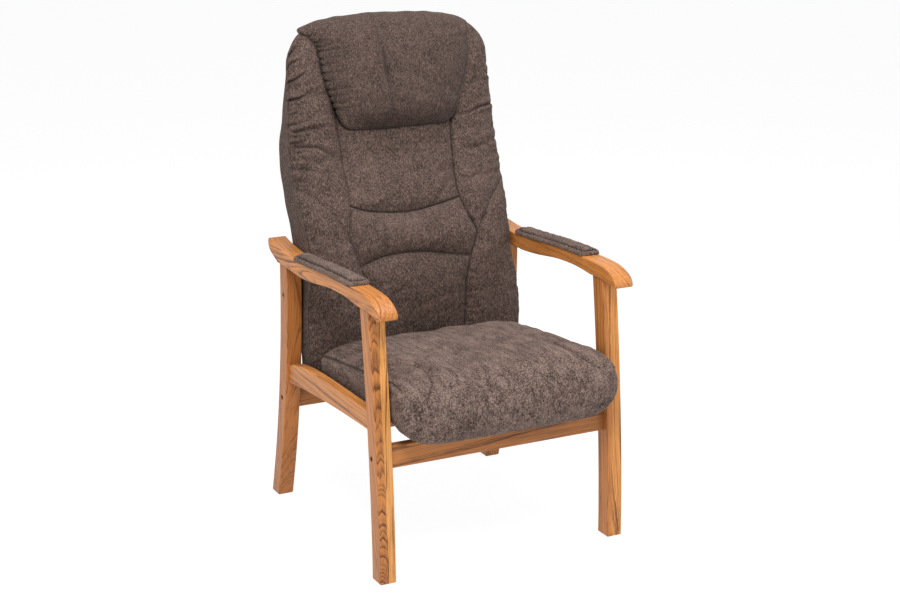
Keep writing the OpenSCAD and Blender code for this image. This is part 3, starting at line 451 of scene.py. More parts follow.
def sewn(d, depth, width, pull, reach):
    """How far a seam draws the cloth in at a distance d: a furrow as wide as a thread's pull
    and a soft dip, both falling off on a bell curve."""
    return depth * crease_at(d, width) + pull * np.exp(-np.abs(d / reach) ** 1.5)


def pleat(d, share, depth, width):
    """A fold that starts sharp at its outer end and runs out: a furrow on the line and a
    ridge beside it."""
    fade = ramp(1 - share) ** 0.8 * ramp(share / 0.04 + 0.6)
    return fade * depth * (crease_at(d, width) - 0.75 * crease_at(d - 2.0 * width, 1.6 * width))


def soft_noise(u, v, size, seed):
    """A gentle unevenness: the sum of 24 waves of about one size that run in different
    directions, from a fixed seed, scaled so that it mostly stays between -1 and 1."""
    rng = np.random.default_rng(seed)
    angle, phase = rng.uniform(0, 2 * np.pi, (2, 24, 1))
    k = 2 * np.pi / (size * rng.uniform(0.6, 1.7, (24, 1)))
    waves = np.sin(k * (np.cos(angle) * u.ravel() + np.sin(angle) * v.ravel()) + phase)
    return (waves.sum(0) / math.sqrt(24 / 2)).reshape(u.shape)


def surface_normals(p):
    """Unit normals of a grid: the cross product of its two directions."""
    n = np.cross(np.gradient(p, axis=1), np.gradient(p, axis=0))
    return n / np.maximum(np.linalg.norm(n, axis=-1, keepdims=True), 1e-9)


# %% [markdown]
# ## Letting the cloth settle
#
# A drawn curve is too even for cloth that is sewn a little larger than the foam under it. So
# Blender's cloth solver works on a coarse copy of a cushion's grid: the points on the seams
# are held, a gentle pressure stands for the filling, and the cloth is a few parts in a
# hundred too large, more where it is gathered. Twenty frames are enough for it to puff up and
# buckle. Only the movement across the surface is kept, and it is capped, so that the measured
# form stays.

# %% Cloth on a coarse grid
SETTLE_FRAMES = 20


def finer(coarse, count, every):
    """Values at each point of a line of count points, from those at every few points: the
    cubic through the two values on either side."""
    at = np.arange(count) / every
    last = coarse.shape[0] - 1
    i = np.minimum(np.floor(at).astype(int), last - 1)
    u = np.minimum(at - i, 1)[:, None]
    return cubic(*(coarse[np.clip(i + k, 0, last)] for k in (-1, 0, 1, 2)), u)


def settle(points, held, loose, every, cap, large):
    """How far cloth on a grid moves outwards when it settles, in millimetres for each point.
    held is 1 on seams, and loose is 1 where the cloth is gathered. large says by what share
    each of its threads shrinks where loose is 0 and where it is 1, so below 0 it is longer."""
    rows, cols = points.shape[:2]
    pick = np.ix_(np.arange(0, rows, every), np.arange(0, cols, every))
    rest = points[pick]
    n, m = rest.shape[:2]
    cloth = make_piece("settling", rest, grid_faces(n, m))
    for name, weight in (("held", held[pick]), ("loose", loose[pick])):
        members = cloth.vertex_groups.new(name=name)
        for tenths in range(1, 11):
            chosen = np.flatnonzero(np.round(ramp(weight) * 10).ravel() == tenths)
            members.add(chosen.tolist(), tenths / 10, "REPLACE")
    solver = cloth.modifiers.new("cloth", "CLOTH")
    made = solver.settings
    made.quality, made.mass, made.air_damping = 6, 0.3, 2.0
    made.tension_stiffness = made.compression_stiffness = made.shear_stiffness = 12
    made.bending_stiffness = 0.12
    made.vertex_group_mass, made.pin_stiffness = "held", 1.0
    made.vertex_group_shrink, made.shrink_min, made.shrink_max = "loose", *large
    made.use_pressure, made.uniform_pressure_force = True, 4.0
    made.effector_weights.gravity = 0
    solver.collision_settings.use_collision = False
    solver.point_cache.frame_end = SETTLE_FRAMES
    scene = bpy.context.scene
    for frame_at in range(1, SETTLE_FRAMES + 1):
        scene.frame_set(frame_at)
    moved = np.zeros(3 * n * m)
    cloth.evaluated_get(bpy.context.evaluated_depsgraph_get()).data.vertices.foreach_get("co", moved)
    scene.frame_set(1)
    bpy.data.objects.remove(cloth)
    moved = moved.reshape(n, m, 3) / MM - [0, FEET_Y, 0]
    out = np.sum((moved - rest) * surface_normals(rest), -1)
    out = cap * np.tanh(np.nan_to_num(out) / cap)
    print(f"cloth of {n} x {m} points settled by {out.min():.1f} to {out.max():.1f} mm")
    return finer(finer(out, rows, every).T.copy(), cols, every).T


# %% [markdown]
# ## The back's form
#
# The back is a shell of foam on a plywood frame. Seen from the side it leans, bends at the
# small of the back and stands thin at its top. A table of rows up the back holds its half
# widths and the depths of its seam, front and rear, and a smooth curve through the rows
# gives every level between. Across the front the cushion is crowned like a loaf: flat in the
# middle and quick to fall at the sides.

# %% Rows of the back
# Its lower edge's height, its height, where its depths start and their unit, its half width
BACK_Z, BACK_H, BACK_Y, REACH, BACK_W = 350, 850, 426, 246, 292
BACK_TOP = BACK_Z + BACK_H
# Radii of its rounded upper and lower edge in side view, and of its upper corners from the front
TOP_ROUND, FOOT_ROUND, CORNER_ROUND = 26, 10, 88
back_rows = [
    # share of height, half width at the seam and at the widest, seam, front, rear, panel, sag
    [0, .931, .962, .220, .080, .606, .55, 0], [.101, .944, 1, .211, .045, .618, .55, 0],
    [.212, .944, .990, .252, .047, .650, .57, -.05], [.312, .944, .944, .300, .057, .707, .60, -.13],
    [.382, .944, .944, .362, .106, .760, .64, -.02], [.453, .951, .953, .455, .211, .862, .56, .12],
    [.524, .959, .963, .569, .346, .947, .52, .04], [.588, .962, .967, .667, .459, .990, .51, 0],
    [.653, .957, .963, .728, .533, .994, .51, 0], [.724, .947, .953, .748, .585, .960, .52, 0],
    [.794, .935, .941, .752, .634, .905, .54, 0], [.865, .925, .929, .764, .667, .858, .56, 0],
    [.929, .921, .923, .776, .700, .832, .56, 0], [1, .921, .923, .789, .720, .821, .56, 0],
]


def round_off(d, r):
    """1 before an edge, then down a quarter circle to 0 at the distance r past it."""
    return np.where(d > 0, np.sqrt(np.maximum(1 - np.minimum(d / r, 1) ** 2, 0)), 1.0)


def back_depths(t):
    """Depths of the seam, the front and the rear at the shares t of the height. Near the lower
    and the upper edge the front and the rear close on the seam along a quarter circle."""
    z = BACK_Z + t * BACK_H
    upper = round_off(z - (BACK_TOP - TOP_ROUND), TOP_ROUND)
    edge = np.maximum(np.minimum(upper, round_off(BACK_Z + FOOT_ROUND - z, FOOT_ROUND)), 0.03)
    seam, front, rear = (BACK_Y + REACH * smooth_rows(back_rows, t, k) for k in (3, 4, 5))
    return seam, mix(seam, front, edge), mix(seam, rear, edge)


def back_widths(t, corners=True):
    """Half widths at the seam and at the widest, less the inset of the round upper corners."""
    into_corner = BACK_Z + t * BACK_H - (BACK_TOP - CORNER_ROUND)
    inset = CORNER_ROUND * (1 - round_off(into_corner, CORNER_ROUND)) if corners else 0
    return [smooth_rows(back_rows, t, k) * BACK_W - inset for k in (1, 2)]


def level(x, t):
    """Height at a distance x from the middle: the upper edge falls 26 mm to its sides on a
    square, and on a cube 12 mm lower to the right and higher to the left, since its shoulders
    are filled by hand. Both fade out on a square below seven tenths of the height."""
    rise = (np.maximum(0, t - 0.7) / 0.3) ** 2
    return BACK_Z + t * BACK_H - (26 * (x / BACK_W) ** 2 + 12 * (x / BACK_W) ** 3) * rise


def back_front(t, s, corners=True):
    """Front of the back at the height shares t (down) and the shares s of the half width
    (across). It is crowned on a power of four. At the edge of its middle panel a row moves
    up by its sag times the panel's half width, and not at all in the middle and at the side."""
    t, s = np.broadcast_arrays(t, s)
    _, wide = back_widths(t, corners)
    seam, front, _ = back_depths(t)
    widest = mix(seam, front, 0.45)
    panel, sag = smooth_rows(back_rows, t, 6), smooth_rows(back_rows, t, 7)
    a = np.abs(s)
    drop = sag * panel * BACK_W * ramp((a / panel) ** 2) * (1 - ramp((a - panel) / (1 - panel)))
    y = widest - (widest - front) * np.sqrt(np.maximum(0, 1 - a**4))
    return np.stack([s * wide, y, level(s * wide, t) + drop], -1)


def close_set(count, ends, edge):
    """Shares from 0 to 1 whose first and last stretch (edge long) has its own points, set
    close together at the very ends."""
    a = edge * (1 - np.cos(np.linspace(0, np.pi / 2, ends)))
    return np.concatenate([a, np.linspace(edge, 1 - edge, count)[1:-1], 1 - a[::-1]])


# %% [markdown]
# ## The grid of the back
#
# The rows lie close together where the upper and lower edges turn, and the points of a row
# at even distances along the cloth, so no face gets much longer than its neighbours. The
# distances along the cloth are kept, because seams are measured on cloth and not through it.

# %% Grid of the back
t = close_set(345, 10, TOP_ROUND / BACK_H)[:, None]
# Across: stations at even distances along the crown of a middling row, 275 mm wide and 22 deep
trial = np.linspace(0, 1, 2001)
crown = np.stack([trial * 275, 22 * np.sqrt(1 - trial**4)], -1)
run = np.concatenate([[0], np.cumsum(np.hypot(*np.diff(crown, axis=0).T))])
half = np.interp(np.linspace(0, run[-1], 124), run, trial)
# Points across each side border, from the seam to the widest
BORDER = 12
s = np.concatenate([-half[::-1], half[1:]])[None, :]
face = back_front(t, s)
seam_w, wide = back_widths(t)
seam_y, front_y, _ = back_depths(t)
q = np.linspace(0, 1, BORDER + 1)[:-1][None, :]
edge_x = mix(seam_w, wide, np.sin(q * np.pi / 2))
edge_y = mix(seam_y, mix(seam_y, front_y, 0.45), q)
border = np.stack([edge_x, edge_y, level(edge_x, t)], -1)
back_points = np.concatenate([border * [-1, 1, 1], face, border[:, ::-1]], 1)


def cloth_lengths(points):
    """Distance of each point of a grid from the middle of its row, along the cloth."""
    steps = np.linalg.norm(np.diff(points, axis=1), axis=-1)
    along = np.concatenate([0 * steps[:, :1], np.cumsum(steps, 1)], 1)
    return along - along[:, [along.shape[1] // 2]]


across = cloth_lengths(back_points)
to_edge = np.abs(across) - across[:, [-BORDER - 1]]
back_z = back_points[..., 2]
cloth = np.stack([across, back_z], -1)
print("grid of the back's front:", back_points.shape[:2])

# %% [markdown]
# ## Seams, pads and pleats of the back
#
# The front of the back is sewn from a middle panel and two wings. Two curved seams cross the
# panel: one like a smile above the small of the back and one like an arch below it, with a
# soft roll between them. A slanting seam crosses each wing, and the wings' cloth is gathered
# into the border seam, so pleats run inwards from it. All of them are lines, given as they
# look from the front, and laid on the grid by their distance along the cloth from the middle.

# %% Lines of the back
def on_back(line):
    """A line seen from the front, [x, z], as [distance along the cloth from the middle, z]."""
    x, z = np.asarray(line, float).T
    middle_z = back_z[:, back_z.shape[1] // 2]
    row = np.abs(middle_z[:, None] - z[None]).argmin(0)
    flat = back_points[row, :, 0]
    return np.array([[np.interp(xi, f, across[r]), zi] for xi, f, r, zi in zip(x, flat, row, z)])


# Each line as it looks from the front, [x, z] in mm, down or from left to right
left_seam = [(-158, 1040), (-160, 946), (-157, 907), (-157, 848), (-157, 800), (-163, 767), (-172, 720),
             (-177, 690), (-169, 668), (-155, 622), (-142, 560), (-134, 480), (-130, 352)]
right_seam = [(150, 1040), (150, 950), (145, 866), (137, 809), (134, 762), (148, 719), (168, 677),
              (160, 650), (146, 619), (130, 546), (125, 445), (123, 352)]
smile = [(-163, 767), (-143, 758), (-120, 751), (-79, 744), (-43, 740), (-7, 739), (25, 741), (57, 746),
         (95, 753), (134, 762)]
arch = [(-155, 620), (-137, 628), (-119, 634), (-95, 640), (-69, 643), (-17, 644), (36, 638), (91, 627),
        (146, 617)]
left_slant = [(-286, 817), (-270, 803), (-247, 787), (-213, 752), (-190, 720), (-177, 692)]
right_slant = [(286, 818), (274, 792), (248, 769), (221, 748), (196, 714), (174, 682)]
# Where the head pillow's edge lies on the back, [height, half width], for the shade under it
PILLOW_EDGE = [(930, 128), (955, 152), (975, 160), (1013, 170), (1054, 184), (1095, 194), (1136, 200),
               (1165, 208), (1200, 225)]
# Each seam, how deep it draws the cloth in, and how dark the painted shade in its furrow is
seams = [(left_seam, 0.7, 0.45), (right_seam, 1.0, 0.75), (smile, 1.25, 1.0), (arch, 1.0, 0.6),
         (left_slant, 0.45, 0.35), (right_slant, 0.5, 0.5)]
pleats = [
    # outer end, inner end as seen from the front, depth, width
    ([(-268, 1116), (-246, 1142)], 9, 2.8), ([(-272, 1082), (-246, 1111)], 10, 2.8),
    ([(-276, 1050), (-256, 1062), (-229, 1080)], 13, 3.2), ([(-276, 1033), (-264, 1044)], 7, 2.5),
    ([(-277, 1010), (-252, 1017), (-220, 1030)], 13, 3.2), ([(-277, 996), (-260, 999)], 4, 3),
    ([(-276, 978), (-245, 981)], 5, 3), ([(-278, 952), (-256, 957), (-243, 967)], 8, 3.2),
    ([(-268, 938), (-240, 943), (-186, 949)], 8, 4.5), ([(-268, 926), (-240, 928)], 5, 3),
    ([(-278, 911), (-250, 913), (-238, 921)], 7, 3), ([(-268, 904), (-216, 899), (-172, 870)], 8, 5),
    ([(-280, 892), (-250, 888)], 4, 3), ([(-280, 874), (-235, 868), (-200, 858)], 4, 4.5),
    ([(-283, 853), (-262, 852), (-226, 842), (-180, 838)], 6, 6), ([(-284, 829), (-250, 822)], 4, 4),
    ([(-283, 748), (-252, 746)], 3, 5),
    ([(278, 970), (226, 963), (188, 950), (165, 950)], 10, 3.6), ([(272, 1058), (243, 1078)], 5, 3),
    ([(272, 1038), (246, 1053)], 5, 3), ([(281, 915), (230, 903), (185, 888)], 4.5, 6),
    ([(281, 884), (230, 872), (194, 862), (150, 855)], 5, 5.5),
    ([(284, 850), (230, 838), (150, 836)], 4.5, 6), ([(284, 826), (228, 822), (152, 812)], 3.5, 6),
    ([(284, 806), (216, 800), (152, 799)], 3, 6),
    # A faint swell along the smile, so its depth is below 0
    ([(-100, 768), (-20, 757), (60, 764)], -1.6, 9),
]
print("seams:", len(seams), "pleats:", len(pleats))

# %% [markdown]
# ## Sewing the back
#
# Each seam and pleat goes through the grid once. Depths are added where folds cross, and the
# largest is taken where seams meet, so a crossing doesn't get twice as deep. A second field
# keeps the painted shade of the furrows for the finish.

# %% Furrows, pleats and settled cloth
# crease_shades holds the painted shade in the furrows of the seams and of the deeper pleats
sewing, folds, crease_shades = 0 * across, 0 * across, 0 * across
seam_near = np.full(across.shape, 1e9)
for line, depth, shade in seams:
    d, _ = line_field(cloth, even_curve(on_back(line), 14))
    seam_near = np.minimum(seam_near, np.abs(d))
    sewing = most(sewing, depth * sewn(d, 3.4, 2.3, 5.0, 17))
    crease_shades = most(crease_shades, shade * crease_at(d, 1.9))
for line, depth, width in pleats:
    d, share = line_field(cloth, on_back(line))
    folds += pleat(d, share, depth, width)
    crease_shades = most(crease_shades, ramp((depth - 3) / 7) * crease_at(d, 1.9) * (1 - share) ** 0.5)

at_border = ramp((7 - np.abs(to_edge)) / 3) + (to_edge > 0)
held = most(ramp((10 - seam_near) / 5), at_border, ramp((0.012 - np.minimum(t, 1 - t)) / 0.004))
loose = ramp((np.abs(back_points[..., 0]) - 150) / 20) * ramp((back_z - 740) / 50)
settled = settle(back_points, held, loose, every=4, cap=9, large=(-0.015, -0.11))

# %% [markdown]
# ## The filling of the back
#
# Under the cloth lie a soft roll between the two curved seams, a pad below it, another above
# it and a bolster in each wing. Each is one smooth hump between its borders. Gathers along
# the border seam and a little unevenness come on top, and then every point moves along the
# surface's normal by the sum of all this.

# %% Roll, pads and wings
x = back_points[..., 0]
# Painted shadow of the head pillow: dark under its edge and falling off beside it, stronger on the left
pillow_edge = np.interp(back_z, *np.array(PILLOW_EDGE).T)
shade = np.where(x < 0, 1.0, 0.8) * crease_at(np.maximum(np.abs(x) - pillow_edge, 0), 5)
shade *= ramp((back_z - 930) / 6) * ramp((1190 - back_z) / 20)
top_of_roll, foot_of_roll = (np.interp(x, *np.array(line, float).T) for line in (smile, arch))
panel_left, panel_right = (
    np.interp(back_z, *np.array(line, float)[::-1, ::-1].T) for line in (left_seam, right_seam)
)
panel_w = np.where(x < 0, -panel_left, panel_right)
inside = ramp(1 - np.abs(x / panel_w) ** 4)


def hump(u):
    """A smooth rise and fall between 0 and 1."""
    return np.sin(np.pi * ramp(u)) ** 0.8


roll = 13 * inside * hump((back_z - foot_of_roll) / (top_of_roll - foot_of_roll))
pad = 9 * inside * hump((back_z - 440) / (foot_of_roll - 440))
upper = 6 * inside * hump((back_z - top_of_roll) / 130)
wing_share = (np.abs(x) - panel_w) / np.maximum(wide - panel_w, 1)
wing = 9 * hump(wing_share) * ramp((back_z - 700) / 120) * ramp((1170 - back_z) / 60)

# Gathers along the border seam, the seam itself and a little unevenness all over
on_face = ramp(1 + 0.08 * np.minimum(-to_edge, 0))
gather_z = ramp((back_z - 760) / 60) * ramp((1150 - back_z) / 40)
gathers = gather_z * np.exp(-np.abs(to_edge + 14) / 16) * np.where(x < 0, 1.2, 0.5)
gathers *= soft_noise(0 * back_z, back_z + 0.2 * to_edge, 17, 5)
folds *= np.where(x < 0, ramp(-to_edge / 9 + 0.25), ramp(-to_edge / 30 + 0.2))
border_seam = sewn(to_edge, 3.4, 2.0, 2.0, 10)
# Painted shade in the furrow of the border seam, together with the painted shadow of the pillow
crease_shades = most(crease_shades, shade, 0.9 * crease_at(to_edge, 1.7))
uneven = 0.55 * soft_noise(across, back_z, 48, 7) + 0.16 * soft_noise(across, back_z, 15, 8)
relief = roll + pad + upper + wing + uneven + gathers + settled - folds - sewing
close = np.minimum(ramp((t - 0.002) / 0.02), ramp((1 - t) / 0.03))
moved = (relief * on_face - border_seam) * close
back_points = back_points + surface_normals(back_points) * moved[..., None]


def soft_piece(name, points, node, crease_shade=None):
    """Closes a cushion's grid of rings, and says which part it stands for."""
    piece = stands_for(tube_piece(name, points, crease_shade), node)
    return piece


back_cushion = soft_piece("back_cushion", back_points, "back_cover", crease_shades * close)
print("faces of the back cushion:", len(back_cushion.data.polygons))

# %% [markdown]
# ## The rear of the back
#
# Behind, the back is covered with a plain cloth that is drawn tight over the frame. It runs
# from the seam at the side, round a corner and across. A seam runs down each corner.

# %% Rear cover
# Points along a row from the seam to the corner, round the corner, and on to the middle
SIDE, ROUND, FLAT_RUN = 9, 9, 29
rear_t = close_set(120, 10, TOP_ROUND / BACK_H)[:, None]
seam_w, _ = back_widths(rear_t)
seam_y, _, rear_y = back_depths(rear_t)
depth = np.maximum(rear_y - seam_y, 1)
r = np.minimum(20, depth * 0.8)
w = seam_w - 3 * ramp(depth / 20)
a = np.linspace(0, np.pi / 2, ROUND)[None, :]
side = np.linspace(0, 1, SIDE + 1)[:-1][None, :]
run = np.linspace(0, 1, FLAT_RUN + 1)[1:][None, :]
x = np.concatenate([mix(seam_w, w, side**0.5), w - r * (1 - np.cos(a)), (w - r) * (1 - run)], 1)
y = [seam_y + 0.3 + (depth - r) * side, seam_y + depth - r + r * np.sin(a), seam_y + depth + 0 * run]
half = np.stack([x, np.concatenate(y, 1), level(x, rear_t)], -1)
rear_points = np.concatenate([half, half[:, -2::-1] * [-1, 1, 1]], 1)
along = cloth_lengths(rear_points)
corner = np.abs(along) - along[:, [-SIDE - 1]] + 12
soft = 0.9 * soft_noise(along, rear_points[..., 2], 110, 11) - sewn(corner, 1.2, 1.6, 1.2, 12)
close = np.minimum(ramp((rear_t - 0.002) / 0.03), ramp((1 - rear_t) / 0.03))
rear_points = rear_points + surface_normals(rear_points) * (soft * close)[..., None]
rear_cover = soft_piece("back_rear_cushion", rear_points, "back_rear_cover")
print("the back's thinnest and thickest depth in mm:", round(float(depth.min())), round(float(depth.max())))

# %% [markdown]
# ## The head pillow
#
# The head pillow hangs over the top of the back: its lower edge lies on the front, it is
# fullest at its middle, and its upper edge is drawn over the top and down behind. So its
# underside follows the back's own surface, up the front and round the top, and its cloth
# stands off that surface by a thickness that swells in the middle and closes at the edges.

# %% Head pillow
# The units of its rows (half its width, its thickness, its height) and its lower edge's height
PILLOW_W, PILLOW_T, PILLOW_H, PILLOW_Z = 205, 56, 272, 932
pillow_rows = [
    # share of height, share of the half width, share of the thickness
    [0, .56, .30], [.03, .64, .62], [.08, .71, .88], [.16, .765, 1], [.30, .83, 1.04], [.45, .905, 1],
    [.60, .965, .94], [.75, .995, .86], [.88, 1, .74], [.96, .98, .60], [1, .95, .50],
]
# How far up each row lies: evenly on the front, then round the top and 22 mm down behind
over = BACK_TOP - TOP_ROUND * np.cos(np.linspace(0, np.pi / 2, 14))
down = BACK_TOP + 22 * np.sin(np.linspace(0, np.pi / 2, 9))[1:]
rise = np.concatenate([np.linspace(PILLOW_Z, BACK_TOP - TOP_ROUND, 150)[:-1], over, down])[:, None]
pillow_t = np.minimum((rise - BACK_Z) / BACK_H, 1)
behind = np.maximum(rise - BACK_TOP, 0)
p = np.linspace(-1, 1, 121)[None, :]
ps = np.sign(p) * (1 - (1 - np.abs(p)) ** 1.6)
share = ramp((rise - PILLOW_Z) / PILLOW_H)
half_w = smooth_rows(pillow_rows, share, 1) * PILLOW_W - behind * 0.4
# Its filling has slipped a little to the right, away from the gathered edge
half_w = half_w + np.where(p < 0, -9 * ramp((share - 0.3) / 0.3), 8 * np.sin(np.pi * ramp(share / 0.8)))
# Its upper corners reach out over the shoulders, and the left edge is gathered in tucks
ear = np.where(ps < 0, 50 * ramp((rise - 1120) / 75) ** 2.4, 17 * ramp((rise - 1150) / 45) ** 2)
ear = ear * (1 - ramp(behind / 24))
tuck_at = np.cumsum(np.random.default_rng(6).uniform(12, 23, 12)) + 968


def tucks(z):
    """1 on each tuck of the gathered edge, falling off on a bell curve of 2.6 mm."""
    return crease_at(np.min(np.abs(z[..., None] - tuck_at), -1), 2.6)


pillow_x = ps * (half_w + (np.where(ps < 0, -5.5 * tucks(rise), 0) + ear) * np.abs(ps) ** 3)
under = back_front(pillow_t, pillow_x / back_widths(pillow_t, corners=False)[1], corners=False)
under[..., 1] += np.where(behind > 0, back_depths(1 - behind / BACK_H)[2] - back_depths(pillow_t)[0], 0)
under[..., 2] -= behind
# The two upper corners hang down over the shoulders, the left one further
reach_out = np.where(ps < 0, 13, 8) * ramp((np.abs(under[..., 0]) - 140) / 95) ** 1.6
under[..., 2] -= reach_out * ramp((rise - 1120) / 70)
print("rows and points of the pillow's underside:", under.shape[:2])

# %% [markdown]
# ## The pillow's filling
#
# The thickness is one field over that surface. It starts from the table, closes at the sides
# on a root, and takes the long fold, the tucks of the left edge, the stitched piping of the
# right edge and a little unevenness one after the other. Heights are in mm from the floor.

# %% Thickness of the pillow
normal = surface_normals(under)
# Its thickness: the table's, round at the lower edge, and 8 mm where it is drawn over the top
body = smooth_rows(pillow_rows, share, 2) * PILLOW_T * round_off(46 - (rise - PILLOW_Z), 46)
over_top = ramp((rise - 1150) / 50)
body = mix(body, 8.0, over_top**1.6) * np.where(behind > 0, 1 - behind / 30, 1)
swell = np.sqrt(np.maximum(0, 1 - np.abs(ps) ** mix(3.2, 10, over_top)))
thick = body * swell
pz = under[..., 2]
# A long fold runs down it, left of its middle
fold = [(-60, 1175), (-54, 1119), (-51, 1078), (-45, 1036), (-40, 988), (-36, 945)]
d, along_fold = line_field(under[..., [0, 2]], fold)
deep = np.sin(np.pi * ramp(along_fold * 0.92 + 0.06))
thick += deep * (5.0 * crease_at(d + 12, 12) - 7.0 * crease_at(d - 9, 11))
inset = half_w + ear - np.abs(under[..., 0])
left = under[..., 0] < 0
tucked = tucks(rise + 0.25 * inset) * np.exp(-np.maximum(inset, 0) / 11)
ruche = -6.0 * tucked + 1.5 * np.exp(-inset / 14) * ramp((pz - 975) / 30)
thick += np.where(left, ruche, 0) * ramp(inset / 4) * ramp((1190 - pz) / 20)
thick -= np.where(left, 0, 1.4 * crease_at(inset - 9, 2.2)) * ramp((1180 - pz) / 20)
thick += 0.8 * soft_noise(under[..., 0], pz, 60, 21) * swell * ramp(thick / 8)
thick = np.maximum(thick, 0)
outer = under + normal * (0.6 + thick)[..., None]
# The cloth bulges past its own sewn edge, at the sides and below
bulge = np.sin(np.pi * ramp(thick / 24))
outer[..., 0] += 7 * bulge * np.sign(ps) * np.abs(ps) ** 6 * ramp((1190 - rise) / 40)
outer[..., 2] -= 6 * bulge * ramp((PILLOW_Z + 40 - rise) / 20)
at_ends = ramp((0.03 - np.minimum(share, 1 - share)) / 0.01)
held = most(ramp((14 - inset) / 4), tucked, at_ends, ramp((rise - 1170) / 10))
loose = np.where(left, ramp(1.4 - inset / 70), 0)
settled = settle(outer, held, loose, every=4, cap=6, large=(-0.012, -0.06))
outer += normal * (settled * ramp(thick / 10))[..., None]
inner = under + normal * 0.6
pillow_points = np.concatenate([outer, inner[:, -2:0:-1]], 1)
# Painted shade: along the lower edge, in the tucks of the left edge, beside the piping of the right edge and
# along the long fold
ruched_shade = most(0.9 * tucked, 0.5 * crease_at(inset, 4))
piping_shade = 0.35 * crease_at(inset - 9, 1.8)
edges = most(crease_at(rise - PILLOW_Z, 7), np.where(left, ruched_shade, piping_shade))
crease_shades = most(edges * ramp((BACK_TOP - rise) / 12), 0.36 * deep * crease_at(d - 8, 7))
pillow_crease_shade = np.concatenate([crease_shades, 0 * inner[:, -2:0:-1, 0]], 1)
pillow = soft_piece("head_pillow_cushion", pillow_points, "head_pillow", pillow_crease_shade)
print("pillow's highest point in mm:", round(float(pillow_points[..., 2].max())))

# %% [markdown]
# ## The seat
#
# The seat is a sprung frame with a thick foam pad whose front droops over the front rail.
# Two side views shape it: one down its middle, where the foam crowns, and one along its side
# seam. From the middle to the side the seat passes from one view to the other, slowly at
# first and fast near the side, so its top stays broad and then rolls down to the seam.

# %% Seat
# Half its width, its length and height, where its rear lower edge lies, and its slope
SEAT_W, SEAT_LEN, SEAT_H, SEAT_Y, SEAT_Z, TILT = 273, 508, 112, 431, 346, math.radians(3)
# Distance of the points along the views, and the share of the half width at the side seam
VIEW_STEP, SIDE_SEAM = 5.2, 0.972
seat_views = [
    # forward and up on the middle line, forward and up along the side seam
    [.012, 0, .012, 0], [0, .06, 0, .05], [0, .30, 0, .20], [0, .60, 0, .40], [.014, .77, .005, .47],
    [.070, .88, .070, .46], [.170, .955, .170, .44], [.260, .985, .250, .46], [.360, 1, .340, .50],
    [.460, 1, .430, .555], [.560, 1, .520, .615], [.660, .995, .610, .68], [.750, .985, .690, .73],
    [.830, .95, .760, .765], [.900, .87, .820, .755], [.955, .72, .870, .69], [.987, .53, .905, .58],
    [1, .33, .925, .43], [.997, .12, .930, .27], [.982, -.09, .920, .13], [.955, -.27, .900, .04],
    [.915, -.37, .870, 0], [.875, -.35, .845, -.01], [.835, -.20, .815, -.01], [.810, 0, .810, 0],
    [.800, 0, .800, 0], [.530, 0, .530, 0], [.260, 0, .260, 0], [.06, 0, .06, 0],
]
in_mm = [SEAT_LEN, SEAT_H, SEAT_LEN, SEAT_H]
view = even_curve(np.array(seat_views) * in_mm, VIEW_STEP, closed=True) / in_mm
# The curve must not dip below the frame on its straight underside
underside = np.abs(view[:, [0, 2]] - 0.4) < 0.38
view[:, [1, 3]] = np.where(underside, np.maximum(view[:, [1, 3]], 0), view[:, [1, 3]])


def tilted(x, along, up):
    """Points on the seat's own slope, which falls to the rear by TILT: x to the right, along
    from its rear edge (below 0 towards the front) and up from its underside."""
    y = SEAT_Y + along * math.cos(TILT) + up * math.sin(TILT)
    return np.stack([x + 0 * y, y, SEAT_Z - along * math.sin(TILT) + up * math.cos(TILT)], -1)


def seat_grid(inset=0.0, count=170):
    """The seat's rings from its left to its right side. The share of the middle view falls
    from 1 to 0 on the root of 1 - s^9, and faster where the cloth droops below the seam."""
    u = np.linspace(-1, 1, count)[:, None]
    s = u * (1.5 - 0.5 * u**2)
    v_mid, h_mid, v_side, h_side = view.T[:, None, :]
    droops = ramp((h_side - h_mid) / 0.08)
    share = np.maximum(1 - np.abs(s) ** 9, 0) ** (0.5 * (1 + 1.2 * droops))
    v, h = mix(v_side, v_mid, share), mix(h_side, h_mid, share)
    near = np.maximum((np.abs(s) - 0.955) / 0.045, 0)
    draw = inset + 9 * (1 - np.sqrt(np.maximum(0, 1 - near**2)))
    v = 0.5 + (v - 0.5) * (1 - 2 * draw / SEAT_LEN)
    h = 0.5 + (h - 0.5) * (1 - 2 * draw / SEAT_H)
    x = s * (SEAT_W - inset + 4 * ramp((v - 0.80) / 0.12))
    return tilted(x, -v * SEAT_LEN, h * SEAT_H), s, v, h


seat_points, s, v, h = seat_grid()
print("grid of the seat:", seat_points.shape[:2])

# %% [markdown]
# ## Seams of the seat
#
# A seam runs along each side just under the crown. At each front corner it meets a leaf of
# cloth: one seam runs down round the corner, and a second one curves inwards over the top and
# back to it. The cloth is puckered along both. Below the nose the cover ends in a hem.

# %% Seams and puckers of the seat
# The two seams of the right front corner in space, [x, y, z] in mm
outer_leaf = np.array([(268, 47, 460), (267, 6, 460), (264, -30, 443), (255, -50, 424), (238, -62, 391),
                       (212, -62, 362), (172, -52, 342)], float)
inner_leaf = np.array([(266, 54, 461), (240, 85, 466), (210, 108, 470), (192, 110, 473), (181, 92, 475),
                       (180, 60, 475), (186, 20, 474), (199, -20, 466), (216, -42, 455), (232, -56, 432),
                       (242, -60, 408)], float)
seat_relief = np.zeros(seat_points.shape[:2])
